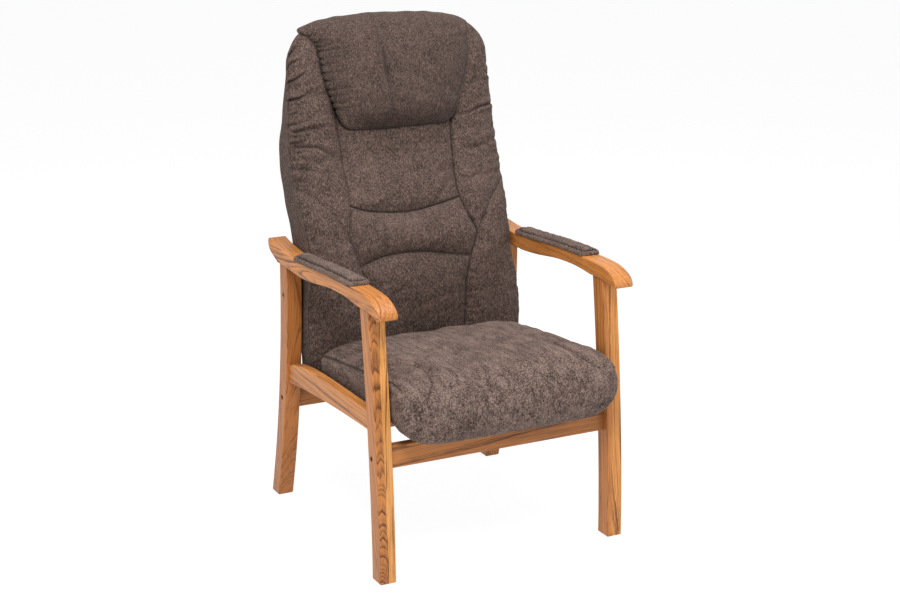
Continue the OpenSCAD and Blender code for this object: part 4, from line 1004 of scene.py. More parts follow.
# seat_seams_and_shade marks the seams, where the settling cloth is held, and is the painted shade in their
# furrows
seat_seams_and_shade = np.zeros(seat_points.shape[:2])
for sign in (-1, 1):
    # Each line, the number of its half waves and the height of its puckers
    for leaf, waves, height in ((outer_leaf, 46, 1.0), (inner_leaf, 60, 0.35)):
        d, share = line_field(seat_points, even_curve(leaf * [sign, 1, 1], 12))
        ends = ramp(share / 0.03) * ramp((1 - share) / 0.03 + 0.4)
        seat_seams_and_shade = most(seat_seams_and_shade, 0.8 * crease_at(d, 1.8) * ends)
        seat_relief -= sewn(d, 2.6, 2.2, 3.0, 14) * ends
        pucker = height * np.sin(share * waves * np.pi)
        seat_relief += pucker * np.exp(-np.abs(d - 5) / 5) * ramp(share / 0.35)
on_top = ramp((h - 0.3) / 0.1) * ramp((0.80 - v) / 0.04) * ramp((v - 0.003) / 0.01)
from_seam = (np.abs(s) - SIDE_SEAM) * SEAT_W
side_seam = sewn(from_seam, 2.6, 1.8, 1.6, 8) * on_top
seat_seams_and_shade = most(seat_seams_and_shade, 0.8 * crease_at(from_seam, 1.7) * on_top)
# The hem lies three points before the lowest one of the middle view
from_hem = np.abs(np.arange(len(view))[None, :] - int(np.argmin(view[:, 1])) - 3) * VIEW_STEP
hem = crease_at(from_hem, 1.8) * ramp((1 - np.abs(s)) / 0.02)
print("deepest furrow of the seat's seams in mm:", round(float(-seat_relief.min()), 1))

# %% [markdown]
# ## The seat's cloth
#
# The top is a little uneven and the hem a little wavy. The sides, the front edge of the
# frame and the seams are held, and the rest may settle.

# %% Unevenness and settling of the seat
sx, sy = seat_points[..., 0], seat_points[..., 1]
top = ramp((h - 0.25) / 0.2)
soft = 0.8 * soft_noise(sx, sy, 95, 31) * top + 0.2 * soft_noise(sx, sy, 26, 32) * top
wavy_hem = 1.6 * soft_noise(sx, 0 * sx, 70, 35) * ramp((0.05 - h) / 0.2) * ramp((v - 0.8) / 0.05)
rests = ramp(h / 0.05 + (v > 0.81) * 2)
close = ramp((1 - np.abs(s)) / 0.01)
seat_relief = (seat_relief - side_seam - hem + soft + wavy_hem) * close * rests
# The rings are closed, so each end is repeated at the other before the normals are taken
normal = surface_normals(np.concatenate([seat_points[:, -1:], seat_points, seat_points[:, :1]], 1))[:, 1:-1]
middle_ring = len(seat_points) // 2
from_middle = seat_points[middle_ring] - seat_points[middle_ring].mean(0)
normal *= np.sign(np.sum(normal[middle_ring] * from_middle))
low_ends = ramp((0.02 - np.minimum(v, 1 - v)) / 0.01) * ramp((0.5 - h) / 0.1)
held = most(seat_seams_and_shade, ramp((0.15 - h) / 0.05), low_ends, ramp((np.abs(s) - 0.985) / 0.01))
loose = ramp((np.abs(sx) - 150) / 60) * ramp((v - 0.6) / 0.2)
settled = settle(seat_points, held, loose, every=4, cap=6, large=(-0.012, -0.05))
seat_points = seat_points + normal * (seat_relief + settled * top * close)[..., None]
seat = soft_piece("seat_cushion", seat_points, "seat_cover", seat_seams_and_shade)
print("seat's front in mm from the feet:", round(float(seat_points[..., 1].min()), 1))

# %% [markdown]
# ## The arm pads
#
# Each arm carries a small pad that is quilted: a stitch line runs round it about 9 mm from
# its edge, so a thick border stands round a fuller middle. Its height is a function of the
# distance from the pad's edge alone, laid on the arm's curved top.

# %% Arm pads
# A pad's length, where it starts, half its width and the radius of its corners
PAD_LEN, PAD_Y, PAD_HALF, PAD_CORNER = 334, 131, 27, 13
# Distance of the stitch line from the edge, and of the pad's sole from the arm
STITCH, SOLE = 9.2, 0.4


def pad_height(d):
    """Height at a distance d in from the edge: a quarter round up to a border 9.5 mm high, a
    furrow 5.5 mm deep on a bell curve at the stitch line, then a crown 7.5 mm higher."""
    roll = 9.5 * np.sqrt(1 - (1 - ramp(d / 5.0)) ** 2)
    crown = 7.5 * np.sin(ramp((d - 8.5) / 14) * np.pi / 2) ** 0.7
    return roll + crown - 5.5 * crease_at(d - STITCH, 1.9)


# Stations along a pad lie closer together at its ends, and so do those across it
along = -np.cos(np.pi * np.linspace(0.04, 0.96, 170))[:, None]
along = (along - along[0]) / (along[-1] - along[0]) * PAD_LEN
a = np.sin(np.linspace(-1, 1, 61) * np.pi / 2)[None, :]
to_end = np.minimum(along, PAD_LEN - along)
width = PAD_HALF - PAD_CORNER * (1 - round_off(PAD_CORNER - to_end, PAD_CORNER))
px, along = np.broadcast_arrays(a * width, along)
# Distance from the edge: from the nearest side or end, or round a corner from its centre
d = np.minimum((1 - np.abs(a)) * width, to_end)
past_end = np.maximum(PAD_CORNER - to_end, 0)
past_side = np.maximum(np.abs(px) - (PAD_HALF - PAD_CORNER), 0)
d = np.where((past_end > 0) & (past_side > 0), PAD_CORNER - np.hypot(past_end, past_side), d)
# Painted shade in the furrow of the stitch line
crease_shade = crease_at(d - STITCH, 1.6)
sole_z = arm_top(PAD_Y + along) + SOLE
pads = {}
for side, sign in (("left", -1), ("right", 1)):
    wobble = 0.45 * soft_noise(along, px, 24, 40 + sign) * ramp(d / 6)
    wobble += 0.35 * soft_noise(along, px, 9, 50 + sign) * ramp(d / 3)
    x = sign * (ARM_X + ARM_W / 2) + px
    top = np.stack([x, PAD_Y + along, sole_z + pad_height(np.maximum(d, 0)) + wobble], -1)
    sole = np.stack([x, PAD_Y + along, sole_z], -1)
    ring = np.concatenate([top, sole[:, -2:0:-1]], 1)
    shade = np.concatenate([crease_shade, 0 * crease_shade[:, -2:0:-1]], 1)
    pads[side] = soft_piece(f"arm_pad_cushion_{side}", ring, f"arm_pad_{side}", shade)
print("arm pads:", sorted(pads))

# %% [markdown]
# ## The foam inside
#
# The foam of the seat and the back is out of sight, but it is there when the covers come off.
# It repeats the covers' own forms, drawn in by the thickness of the cloth and its wadding.

# %% Foam blocks
seat_core, *_ = seat_grid(inset=8.5, count=60)
# It lies on the frame, whose upper side is 42 mm above the seat's underside
frame_top = SEAT_Z + 42 - (seat_core[..., 1] - SEAT_Y) * math.sin(TILT)
seat_core[..., 2] = np.maximum(seat_core[..., 2], frame_top)
rows = np.linspace(0.012, 0.985, 70)[:, None]
core = back_front(rows, np.linspace(-1, 1, 61)[None, :])
core_seam = back_depths(rows)[0]
widest = core[..., 0].max(1, keepdims=True)
core[..., 0] *= np.minimum(widest - 14, back_widths(rows)[0] - 12) / widest
core[..., 1] = np.minimum(core[..., 1] + 13, core_seam - 0.5)
rear_side = core.copy()
rear_side[..., 1] = core_seam - 0.2
back_core = np.concatenate([core, rear_side[:, ::-1]], 1)
foams = [
    soft_piece("seat_foam_block", seat_core, "seat_foam"),
    soft_piece("back_foam_block", back_core, "back_foam"),
]
print("foam blocks:", len(foams))

# %% [markdown]
# ## Straps and dust cloth
#
# Five woven straps are drawn across the back's frame and carry its foam. A thin black cloth
# is stapled under the seat's frame and keeps the dust in. Both are flat cloth under tension:
# a grid for the one side, and the same grid a thickness away for the other. The straps' long
# edges are rounded, and the dust cloth hangs 3 mm lower in its middle.

# %% Stretched cloth
STRAP_T, DUST_T = 1.6, 0.8


def stretched_cloth(name, front, behind, node, holders):
    """Closes the two sides of a cloth to a piece, and says which part it stands for."""
    piece = tube_piece(name, np.concatenate([front, behind[:, ::-1]], 1))
    stands_for(piece, node)
    return piece


straps = []
v = np.sin(np.linspace(-1, 1, 15) * np.pi / 2)[None, :]
sx = np.linspace(-1, 1, 60)[:, None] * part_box("back_webbing")[1].x / MM
half_thick = STRAP_T / 2 * np.sqrt(np.maximum(1 - np.abs(v) ** 6, 0)) + 0 * sx
# The lower and upper edge of each strap, as shares of the back's height
for number, edges in enumerate([(.12, .19), (.26, .33), (.40, .46), (.53, .60), (.67, .74)], 1):
    # A strap lies 1.1 mm behind the seam's line and runs straight from edge to edge
    sy = mix(*back_depths(np.array(edges))[0], (v + 1) / 2) + 1.1
    sz = BACK_Z + BACK_H * mix(*edges, (v + 1) / 2) + 0 * sx
    sides = [np.stack([sx + 0 * v, sy + k * half_thick, sz], -1) for k in (-1, 1)]
    holders = ["back_side_left", "back_side_right"]
    straps.append(stretched_cloth(f"back_strap_{number}", *sides, "back_webbing", holders))
low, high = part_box("seat_dust_cloth")
u, v = np.linspace(-1, 1, 70)[:, None], np.linspace(0, 1, 70)[None, :]
along = (mix(low.y, high.y, v) / MM - FEET_Y - SEAT_Y) / math.cos(TILT) + 0 * u
hang = 3 * (1 - u**2) * (1 - (2 * v - 1) ** 2)
free = ramp((1 - np.abs(u)) / 0.1) * ramp(np.minimum(v, 1 - v) / 0.1)
hang += 0.5 * soft_noise(u * 200 + 0 * along, along, 45, 61) * free
sides = [tilted(u * high.x / MM, along, up) for up in (-hang, -DUST_T - hang)]
holders = [f"seat_frame_{end}" for end in ("left", "right", "front", "rear")]
dust_cloth = stretched_cloth("seat_dust_sheet", *sides, "seat_dust_cloth", holders)
print("straps:", len(straps), "and a dust cloth")

# %% [markdown]
# ## Shaders in few lines
#
# A material is a graph of small nodes. Written out, each node takes a line to make it and
# another for every input. So one helper makes a node and fills its inputs in one line, with
# numbers or with links, and the others name the kinds that come back all the time.

# %% Nodes and links
def feed(tree, node, inputs):
    """Fills a node's inputs. A pair (node, output) is linked to its input; anything else is
    written into it."""
    for name, value in inputs.items():
        if isinstance(value, tuple) and hasattr(value[0], "outputs"):
            tree.links.new(value[0].outputs[value[1]], node.inputs[name])
        else:
            node.inputs[name].default_value = value


def add(tree, kind, inputs=None, **settings):
    """A new node of that kind with its settings and its inputs."""
    new = tree.nodes.new(kind)
    for name, value in settings.items():
        setattr(new, name, value)
    feed(tree, new, inputs or {})
    return new


def math_node(tree, operation, a, b=None, clamp=False):
    """One sum of one or two numbers or links."""
    inputs = {0: a} if b is None else {0: a, 1: b}
    return add(tree, "ShaderNodeMath", inputs, operation=operation, use_clamp=clamp), 0


def total(tree, start, *terms, clamp=False):
    """start plus each value times its weight."""
    for number, (value, weight) in enumerate(terms, 1):
        part = math_node(tree, "MULTIPLY", value, weight)
        start = math_node(tree, "ADD", start, part, clamp and number == len(terms))
    return start


def span(tree, value, low, high, to_low=0.0, to_high=1.0):
    """A value's range from low to high spread over another range, and held inside it."""
    return add(tree, "ShaderNodeMapRange", {"Value": value, "From Min": low, "From Max": high,
                                            "To Min": to_low, "To Max": to_high}), 0


def blend(tree, factor, a, b, kind="MIX"):
    """Two colours mixed. The inputs of such a node have their numbers for a name."""
    return add(tree, "ShaderNodeMix", {0: factor, 6: a, 7: b}, data_type="RGBA", blend_type=kind), 2


def noise(tree, place, scale, **more):
    """A noise over a place, as the pair of its node and its value."""
    inputs = {"Vector": place, "Scale": scale} | {name.title(): value for name, value in more.items()}
    return add(tree, "ShaderNodeTexNoise", inputs), 0


def mapped(tree, place, scale=(1, 1, 1), turn=(0, 0, 0)):
    """A place that is turned and stretched."""
    return add(tree, "ShaderNodeMapping", {"Vector": place, "Rotation": turn, "Scale": scale}), 0


# %% [markdown]
# ## One effect, many materials
#
# Three effects serve more than one material: the grain of a wood, the pile of the velour and
# a plain woven cloth. Each is a node group, so it is built once. It takes a place and two
# tones, and gives a colour, a roughness and a height.

# %% Node groups
def group(name, inputs):
    """A node group, its tree and its two ends. An input without a value is a place, and one
    with four numbers is a colour."""
    tree = bpy.data.node_groups.new(name, "ShaderNodeTree")
    for label, value in inputs.items():
        kind = "Vector" if value is None else "Color" if isinstance(value, tuple) else "Float"
        socket = tree.interface.new_socket(label, in_out="INPUT", socket_type="NodeSocket" + kind)
        if value is not None:
            socket.default_value = value
    for label, kind in (("Color", "Color"), ("Roughness", "Float"), ("Height", "Float")):
        tree.interface.new_socket(label, in_out="OUTPUT", socket_type="NodeSocket" + kind)
    return tree, tree.nodes.new("NodeGroupInput"), tree.nodes.new("NodeGroupOutput")


def use(tree, shared, inputs):
    """The colour, the roughness and the height that a node group gives."""
    node = add(tree, "ShaderNodeGroup", node_tree=shared)
    feed(tree, node, inputs)
    return (node, "Color"), (node, "Roughness"), (node, "Height")


# %% [markdown]
# ## From an effect to a finish
#
# Each material starts from the place on the piece, so its pattern keeps its real size. The
# effect's height goes to the shader as bumps, for what is finer than the mesh. The colours
# are written as a screen shows them.

# %% Materials
def new_material(name):
    """A material, its tree, its shader and the place on the piece in metres."""
    material = bpy.data.materials.new(name)
    material.use_nodes = True
    tree = material.node_tree
    return material, tree, tree.nodes["Principled BSDF"], (add(tree, "ShaderNodeTexCoord"), "Object")


def dress(tree, shader, effect, bump, depth, more=None):
    """Gives a shader a colour, a roughness and a height, which becomes bumps of that depth in
    metres, and what else is named."""
    colour, rough, height = effect
    bumps = add(tree, "ShaderNodeBump", {"Height": height, "Strength": bump, "Distance": depth})
    feed(tree, shader, {"Base Color": colour, "Roughness": rough, "Normal": (bumps, 0)} | (more or {}))


def rgb(r, g, b):
    """A colour as a screen shows it (0 to 255), in the linear numbers that a shader uses."""
    c = np.array([r, g, b]) / 255
    return (*np.where(c <= 0.04045, c / 12.92, ((c + 0.055) / 1.055) ** 2.4), 1.0)


def finish_with(piece, material):
    """Gives a piece one finish all over."""
    piece.data.materials.clear()
    piece.data.materials.append(material)


def finish_parts(material, *nodes):
    """Gives parts that stay from the measured model one finish."""
    for node in nodes:
        finish_with(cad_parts[node], material)


# %% [markdown]
# ## Oak
#
# A board is a slice of a log, so its grain is the log's rings, cut by the board's faces. The
# group works out the distance from the log's heart, lets it wander a little, and counts it
# in rings. Each ring starts with a dark line of open pores and fades to pale late wood. A
# face that cuts the rings flat shows tall V shapes, and one that cuts them square shows
# straight lines, with no more than the place of the heart to set which. The front legs and
# the left arm are each glued from two strips, so they take two logs.

# %% Wood grain group
def wood_group():
    """The distance from the log's heart in rings, their dark early wood, and in it the pores;
    over all of it lies fibre, finer than the rings and along them."""
    tree, here, out = group("wood grain", {
        "Place": None, "Light": (0.7, 0.36, 0.14, 1), "Dark": (0.2, 0.07, 0.02, 1), "Ring width": 0.004,
        "Contrast": 1.0,
    })
    place = (here, "Place")

    def stretched(across, along, detail=2.0):
        """A noise whose spots are long along the log."""
        return noise(tree, mapped(tree, place, (across, across, along)), 1.0, detail=detail)

    def vector(operation, *values):
        """One step with places or directions."""
        return add(tree, "ShaderNodeVectorMath", dict(enumerate(values)), operation=operation), 0

    wander = (stretched(9, 1.6)[0], 1)
    shift = vector("MULTIPLY", vector("SUBTRACT", wander, (0.5, 0.5, 0.5)), (0.030, 0.030, 0.0))
    flat = vector("MULTIPLY", vector("ADD", place, shift), (1, 1, 0))
    radius = (vector("LENGTH", flat)[0], 1)
    uneven = add(tree, "ShaderNodeTexNoise", {"W": math_node(tree, "MULTIPLY", radius, 70.0), "Scale": 1.0},
                 noise_dimensions="1D")
    rings = math_node(tree, "DIVIDE", radius, (here, "Ring width"))
    rings = total(tree, rings, (stretched(120, 7), 0.9), ((uneven, 0), 5.0))
    year = add(tree, "ShaderNodeTexWhiteNoise", {"W": math_node(tree, "FLOOR", rings)}, noise_dimensions="1D")
    # Tone across one ring: a dark start that fades, and a little dark again just before the next
    profile = add(tree, "ShaderNodeValToRGB", {"Fac": math_node(tree, "FRACT", rings)})
    stops = profile.color_ramp.elements
    stops[0].color, stops[1].color = (0.75, 0.75, 0.75, 1), (0.35, 0.35, 0.35, 1)
    for at, tone in ((0.10, 1.0), (0.26, 0.55), (0.55, 0.16), (0.90, 0.06)):
        stops.new(at).color = (tone, tone, tone, 1)
    early = math_node(tree, "MULTIPLY", (profile, 0), span(tree, (year, 0), 0, 1, 0.25, 1.0))
    pores = span(tree, stretched(1500, 42, 1.0), 0.56, 0.66)
    pores = math_node(tree, "MULTIPLY", pores, span(tree, early, 0.0, 0.5, 0.25, 1.0))
    fibre = span(tree, stretched(620, 12, 3.0), 0.3, 0.7, -1.0, 1.0)
    vein = span(tree, stretched(270, 5), 0.3, 0.7, -1.0, 1.0)
    broad = span(tree, stretched(16, 2.2, 1.0), 0.3, 0.7, -1.0, 1.0)
    dark = total(tree, math_node(tree, "MULTIPLY", early, (here, "Contrast")),
                 (pores, 0.48), (fibre, 0.14), (vein, 0.23), (broad, 0.16), clamp=True)
    feed(tree, out, {
        "Color": blend(tree, dark, (here, "Light"), (here, "Dark")),
        "Roughness": total(tree, 0.40, (pores, 0.22), (fibre, 0.04)),
        "Height": total(tree, 0.0, (pores, -1.0), (early, -0.35)),
    })
    return tree


wood_grain = wood_group()
print("nodes in the wood's group:", len(wood_grain.nodes))

# %% [markdown]
# ## From a log to a board
#
# A board's looks are decided by where in the log it was cut. So a finish only needs the
# log's middle line as seen from the chair, its two tones and the width of its rings.

# %% One log or two
def strip(heart, turn, light=(216, 145, 76), dark=(112, 62, 28), ring=0.0045, contrast=1.0):
    """One log. heart is a point on its middle line in metres, and turn the turns in degrees
    that take the upright to that line."""
    return heart, turn, {"Light": rgb(*light), "Dark": rgb(*dark), "Ring width": ring, "Contrast": contrast}


def wood(name, first, second=None, glue=0.0, coat=0.06):
    """A wood finish from one log, or from two logs glued together where x is glue metres."""
    material, tree, shader, place = new_material(name)
    grains = []
    for heart, turn, looks in filter(None, (first, second)):
        stance = {"Vector": place, "Location": heart, "Rotation": [math.radians(a) for a in turn]}
        log = add(tree, "ShaderNodeMapping", stance, vector_type="TEXTURE")
        grains.append(use(tree, wood_grain, looks | {"Place": (log, 0)}))
    effect = grains[0]
    if second:
        parts = add(tree, "ShaderNodeSeparateXYZ", {0: place})
        beyond = math_node(tree, "GREATER_THAN", (parts, "X"), glue)
        effect = [blend(tree, beyond, a, b) for a, b in zip(*grains)]
    dress(tree, shader, effect, 0.3, 0.0008,
          {"Specular IOR Level": 0.3, "Coat Weight": coat, "Coat Roughness": 0.35})
    return material


# %% [markdown]
# ## Every board its own log
#
# No two boards of a chair are alike, so each gets a log of its own, placed one by one until
# the grain runs as on the real board. Frame, arms and rails differ a little in tone.

# %% Logs of the boards
# Heart of the log behind each board, in metres, and the log's lean. Close behind a face gives
# V shapes on it; far off to the side gives straight lines. Then its tones, ring and contrast.
BROWN, DEEP, RAIL_BROWN = (196, 126, 66), (98, 54, 26), (202, 132, 68)
ARM_BROWN, ARM_DEEP = (200, 130, 66), (120, 66, 30)
logs = {
    "front_leg_left": (strip((-0.311, -0.286, 0), (-11.8, 0, 0), BROWN, DEEP, 0.0027, 1.25),
                       strip((-0.12, -0.45, 0), (-4, 1.2, 0), (226, 158, 86)), -0.301),
    "front_leg_right": (strip((0.16, -0.42, 0), (-5, 0.8, 0), BROWN, DEEP, 0.0045, 1.35),
                        strip((0.42, -0.52, 0), (-5, -1.0, 0)), 0.291),
    # Painted shade: the left rear leg's light tone is darker than the other legs'
    "rear_leg_left": (strip((-0.285, 0.39, 0), (4, 2.5, 0), (184, 116, 60), DEEP, 0.003),),
    "rear_leg_right": (strip((0.45, 0.10, 0.3), (6, -0.5, 0), BROWN, DEEP),),
    "armrest_left": (strip((-0.36, 0, 0.63), (88.2, 0, 1.5), (200, 130, 68), DEEP, 0.0036, 1.2),
                     strip((-0.12, 0, 0.54), (91.0, 0, 2.0), ARM_BROWN, ARM_DEEP), -0.321),
    "armrest_right": (strip((0.12, 0, 0.52), (90.6, 0, -2.0), ARM_BROWN, ARM_DEEP),),
    "side_rail_left": (strip((-0.18, 0, 0.12), (91.5, 0, 0), RAIL_BROWN, DEEP),),
    "side_rail_right": (strip((0.18, 0, 0.14), (91.5, 0, 0), RAIL_BROWN, DEEP),),
    "front_rail": (strip((0, -0.20, 0.36), (0, 88.4, 1.0), BROWN, DEEP),),
    "rear_rail": (strip((0, 0.45, 0.22), (0, 91, 0), BROWN, DEEP),),
}
boards = {f"{end}_leg_{side}": leg for (end, side), leg in legs.items()}
boards |= {f"armrest_{side}": arm for side, arm in arms.items()} | rails
for node, strips in logs.items():
    name = "oak " + node.replace("armrest", "arm").replace("_", " ")
    finish_with(boards[node], wood(name, *strips))
print("boards with logs of their own:", len(logs))

# %% [markdown]
# ## Bored holes, beech and plywood
#
# The walls of a bored hole have a darker finish of their own, painted shade for the dark
# inside of the hole, given to the faces inside a hole's radius. The hidden frame is plain
# plywood, and the cleats and dowels are beech, which hardly shows its rings.

# %% Bored holes and the hidden wood
# Painted shade: dark brown walls inside the bored holes
bore_shade = wood("bored oak", strip((0, 0, 0), (0, 90, 0), (92, 56, 32), (48, 28, 16)), coat=0.0)
for (end, side), leg in legs.items():
    leg.data.materials.append(bore_shade)
    centres = np.zeros(3 * len(leg.data.polygons))
    leg.data.polygons.foreach_get("center", centres)
    cx, cy, cz = (centres.reshape(-1, 3) / MM - [0, FEET_Y, 0]).T
    index = np.zeros(len(cx), np.int32)
    for hy, hz, _ in sunk_holes[end]:
        index[(np.hypot(cy - hy, cz - hz) < HOLE_W / 2 + 0.2) & (np.abs(cx) < HALF_W - 0.2)] = 1
    leg.data.polygons.foreach_set("material_index", index)
pale = strip((0, 0.6, 0.9), (90, 0, 0), (214, 178, 138), (176, 132, 96), 0.003, 0.35)
veneer = strip((0, 0.3, -3.0), (2, 2, 0), (222, 192, 148), (176, 134, 92), 0.0035, 0.6)
beech, plywood = wood("beech", pale, coat=0.0), wood("plywood", veneer, coat=0.0)
finish_parts(beech, "seat_cleat_left", "seat_cleat_right", "arm_dowels", "side_rail_dowels")
finish_parts(plywood, "seat_frame_left", "seat_frame_right", "seat_frame_front", "seat_frame_rear",
             "back_side_left", "back_side_right", "back_top_rail", "back_middle_rail", "back_bottom_rail",
             "arm_pad_board_left", "arm_pad_board_right")
print("wood finishes:", sum("oak" in m.name for m in bpy.data.materials))

# %% [markdown]
# ## Velour
#
# The cover is a brushed velour in dark taupe. Its pile lies in small tufts that catch the
# light one way or another, so it looks mottled close by and streaky where a hand has passed
# over it. The group mixes a dark and a light tone by two fine noises, one round and one
# stretched, and shifts both by broad brushed patches.

# %% Velour group
def velour_group():
    """The mean of two fine noises is the pile's own tone. Brushed patches and strokes and a
    broad unevenness are added to it, and the painted shade of the seams' furrows, from the
    crease_shade attribute, darkens it."""
    tree, here, out = group("velour pile", {
        "Place": None, "Dark": (0.06, 0.04, 0.03, 1), "Light": (0.3, 0.2, 0.18, 1), "Tuft": 330.0,
        "Brushed": 0.3,
    })
    place = (here, "Place")
    tufts = noise(tree, place, (here, "Tuft"), detail=3.0, roughness=0.6)
    streaks = noise(tree, mapped(tree, place, (1.0, 1.0, 0.4), (0.3, 0.75, 0.4)), 380.0, detail=2.0)
    patches = noise(tree, place, 17.0, detail=4.0, roughness=0.62, distortion=0.6)
    strokes = noise(tree, mapped(tree, place, (1.0, 0.25, 0.6), (0, 0, 0.9)), 75.0, detail=3.0, roughness=0.6)
    broad = noise(tree, place, 5.0, detail=2.0)
    fine = total(tree, 0.0, (span(tree, tufts, 0.42, 0.71), 0.5), (span(tree, streaks, 0.42, 0.71), 0.5))
    brush = math_node(tree, "ADD", span(tree, patches, 0.36, 0.66, -0.28, 0.28),
                      span(tree, strokes, 0.38, 0.64, -0.4, 0.4))
    broad = span(tree, broad, 0.3, 0.7, -0.05, 0.05)
    tone = total(tree, fine, (brush, (here, "Brushed")), (broad, 1.0), clamp=True)
    # Painted shade: the crease_shade attribute darkens the tone and then the colour itself
    crease_shade = add(tree, "ShaderNodeAttribute", attribute_name="crease_shade")
    shade = total(tree, 1.0, ((crease_shade, "Fac"), -0.72))
    colour = blend(tree, math_node(tree, "MULTIPLY", tone, shade), (here, "Dark"), (here, "Light"))
    feed(tree, out, {"Color": blend(tree, 1.0, colour, shade, "MULTIPLY"),
                     "Roughness": span(tree, fine, 0, 1, 0.92, 0.78), "Height": fine})
    return tree


velour_pile = velour_group()
print("nodes in the velour's group:", len(velour_pile.nodes))

# %% [markdown]
# ## The cushions' finishes
#
# Each cushion has its own tones and its own share of brushed patches: the seat, which is sat
# on, has the most. The tones also paint light: the seat's lighter tones are a painted sheen of
# its laid pile, the back's lighter light tone is painted light on its flanks, and the pillow's
# darker light tone is painted shade.

# %% Finishes of the cushions
def velour(name, dark=(40, 30, 26), light=(124, 102, 92), brushed=0.12, tuft=400.0):
    """A velour finish: the pile's colour and bump, with a soft sheen at its edges."""
    material, tree, shader, place = new_material(name)
    pile = use(tree, velour_pile, {"Place": place, "Dark": rgb(*dark), "Light": rgb(*light),
                                   "Brushed": brushed, "Tuft": tuft})
    dress(tree, shader, pile, 0.55, 0.0012,
          {"Sheen Weight": 0.07, "Sheen Roughness": 0.45, "Sheen Tint": rgb(205, 190, 180),
           "Specular IOR Level": 0.25})
    return material


# Painted light: a lighter light tone for the light on the back's flanks
finish_with(back_cushion, velour("velour back", light=(132, 109, 99), brushed=0.16))
finish_with(rear_cover, velour("velour rear"))
# Painted shade: a darker light tone for the shade on the pillow
finish_with(pillow, velour("velour pillow", light=(118, 97, 88)))
# Painted sheen: lighter tones for the sheen of the seat's laid pile
finish_with(seat, velour("velour seat", (52, 39, 34), (160, 136, 125), brushed=0.3, tuft=330.0))
for pad in pads.values():
    finish_with(pad, velour("velour pad", (50, 38, 34), (158, 134, 122), brushed=0.15))
print("velour finishes:", sum("velour" in m.name for m in bpy.data.materials))

# %% [markdown]
# ## Foam, cloth, steel and plastic
#
# What is left is small or hidden, but each has its own finish: open foam with its cells,
# black woven cloth, zinc-plated bolts, oiled springs and black glides. All but the cloth are
# one plain finish with other numbers.

# %% Plain finishes and a weave
def plain(name, colour, rough, metal=0.0, scale=300.0, spread=0.12, bump=0.2):
    """A finish with a little unevenness: one noise changes its colour, roughness and bump."""
    material, tree, shader, place = new_material(name)
    spots = noise(tree, place, scale, detail=3.0)
    low, high = ((*(min(1, c * share) for c in rgb(*colour)[:3]), 1.0) for share in (1 - spread, 1 + spread))
    gloss = span(tree, spots, 0.3, 0.7, rough - 0.06, rough + 0.06)
    dress(tree, shader, (blend(tree, spots, low, high), gloss, spots), bump, 0.0004, {"Metallic": metal})
    return material


def weave_group():
    """Threads cross over and under: in a chequer of cells the thread of one direction is on
    top, and its height is the half wave of a sine across it."""
    tree, here, out = group("plain weave", {
        "Place": None, "Threads": 900.0, "Dark": (0.01, 0.01, 0.01, 1), "Light": (0.03, 0.03, 0.03, 1),
    })
    parts = add(tree, "ShaderNodeSeparateXYZ", {0: (here, "Place")})
    waves, cells = [], []
    for axis in ("X", "Z"):
        count = math_node(tree, "MULTIPLY", (parts, axis), (here, "Threads"))
        wave = math_node(tree, "SINE", math_node(tree, "MULTIPLY", count, math.pi))
        waves.append(math_node(tree, "ABSOLUTE", wave))
        cells.append(math_node(tree, "FLOOR", count))
    over = math_node(tree, "FLOORED_MODULO", math_node(tree, "ADD", *cells), 2.0)
    top = (add(tree, "ShaderNodeMix", {0: over, 2: waves[0], 3: waves[1]}, data_type="FLOAT"), 0)
    uneven = span(tree, noise(tree, (here, "Place"), 60.0, detail=3.0), 0.3, 0.7, 0.6, 1.0)
    tone = math_node(tree, "MULTIPLY", top, uneven, clamp=True)
    feed(tree, out, {"Color": blend(tree, tone, (here, "Dark"), (here, "Light")),
                     "Roughness": span(tree, tone, 0, 1, 0.95, 0.75), "Height": top})
    return tree


plain_weave = weave_group()


def woven(name, threads, dark, light, turn=0.0):
    """A woven cloth with that many threads in a metre. Its threads run along X and Z, or
    turned about X for a cloth that lies flat."""
    material, tree, shader, place = new_material(name)
    weave = use(tree, plain_weave, {"Place": mapped(tree, place, turn=(turn, 0, 0)), "Threads": threads,
                                    "Dark": rgb(*dark), "Light": rgb(*light)})
    dress(tree, shader, weave, 0.6, 0.0004)
    return material


# %% [markdown]
# ## Who gets what
#
# The straps and the dust cloth are woven, the springs are oiled steel, and every other bit
# of metal is zinc plated.

# %% Finishes of the hidden parts
strap_finish = woven("woven strap", 500.0, (16, 16, 18), (52, 52, 56))
for strap in straps:
    finish_with(strap, strap_finish)
finish_with(dust_cloth, woven("dust cloth", 900.0, (12, 12, 13), (38, 38, 42), turn=math.pi / 2))
foam = plain("open foam", (236, 224, 180), 0.9, scale=900.0, bump=0.8, spread=0.2)
for block in foams:
    finish_with(block, foam)
zinc = plain("zinc plate", (196, 192, 180), 0.32, metal=1.0, scale=180.0, bump=0.1)
spring_steel = plain("oiled spring steel", (92, 90, 88), 0.42, metal=1.0, scale=120.0, bump=0.1)
finish_parts(zinc, "rail_bolts", "barrel_nuts", "back_bolts", "back_inserts", "seat_screws",
             "cleat_screws", "arm_pad_screws", "spring_clips")
finish_parts(spring_steel, "seat_springs")
finish_parts(plain("black plastic", (26, 26, 27), 0.5, scale=500.0), "floor_glides")
print("finishes in all:", len(bpy.data.materials))

# %% [markdown]
# ## Studio
#
# The chair stands on a white floor under soft lamps: a broad one high on the left, a weaker
# one on the right and one overhead. The floor shows nearly white to the camera and still
# keeps the chair's shadow, because only part of what the camera sees of it is its own light.

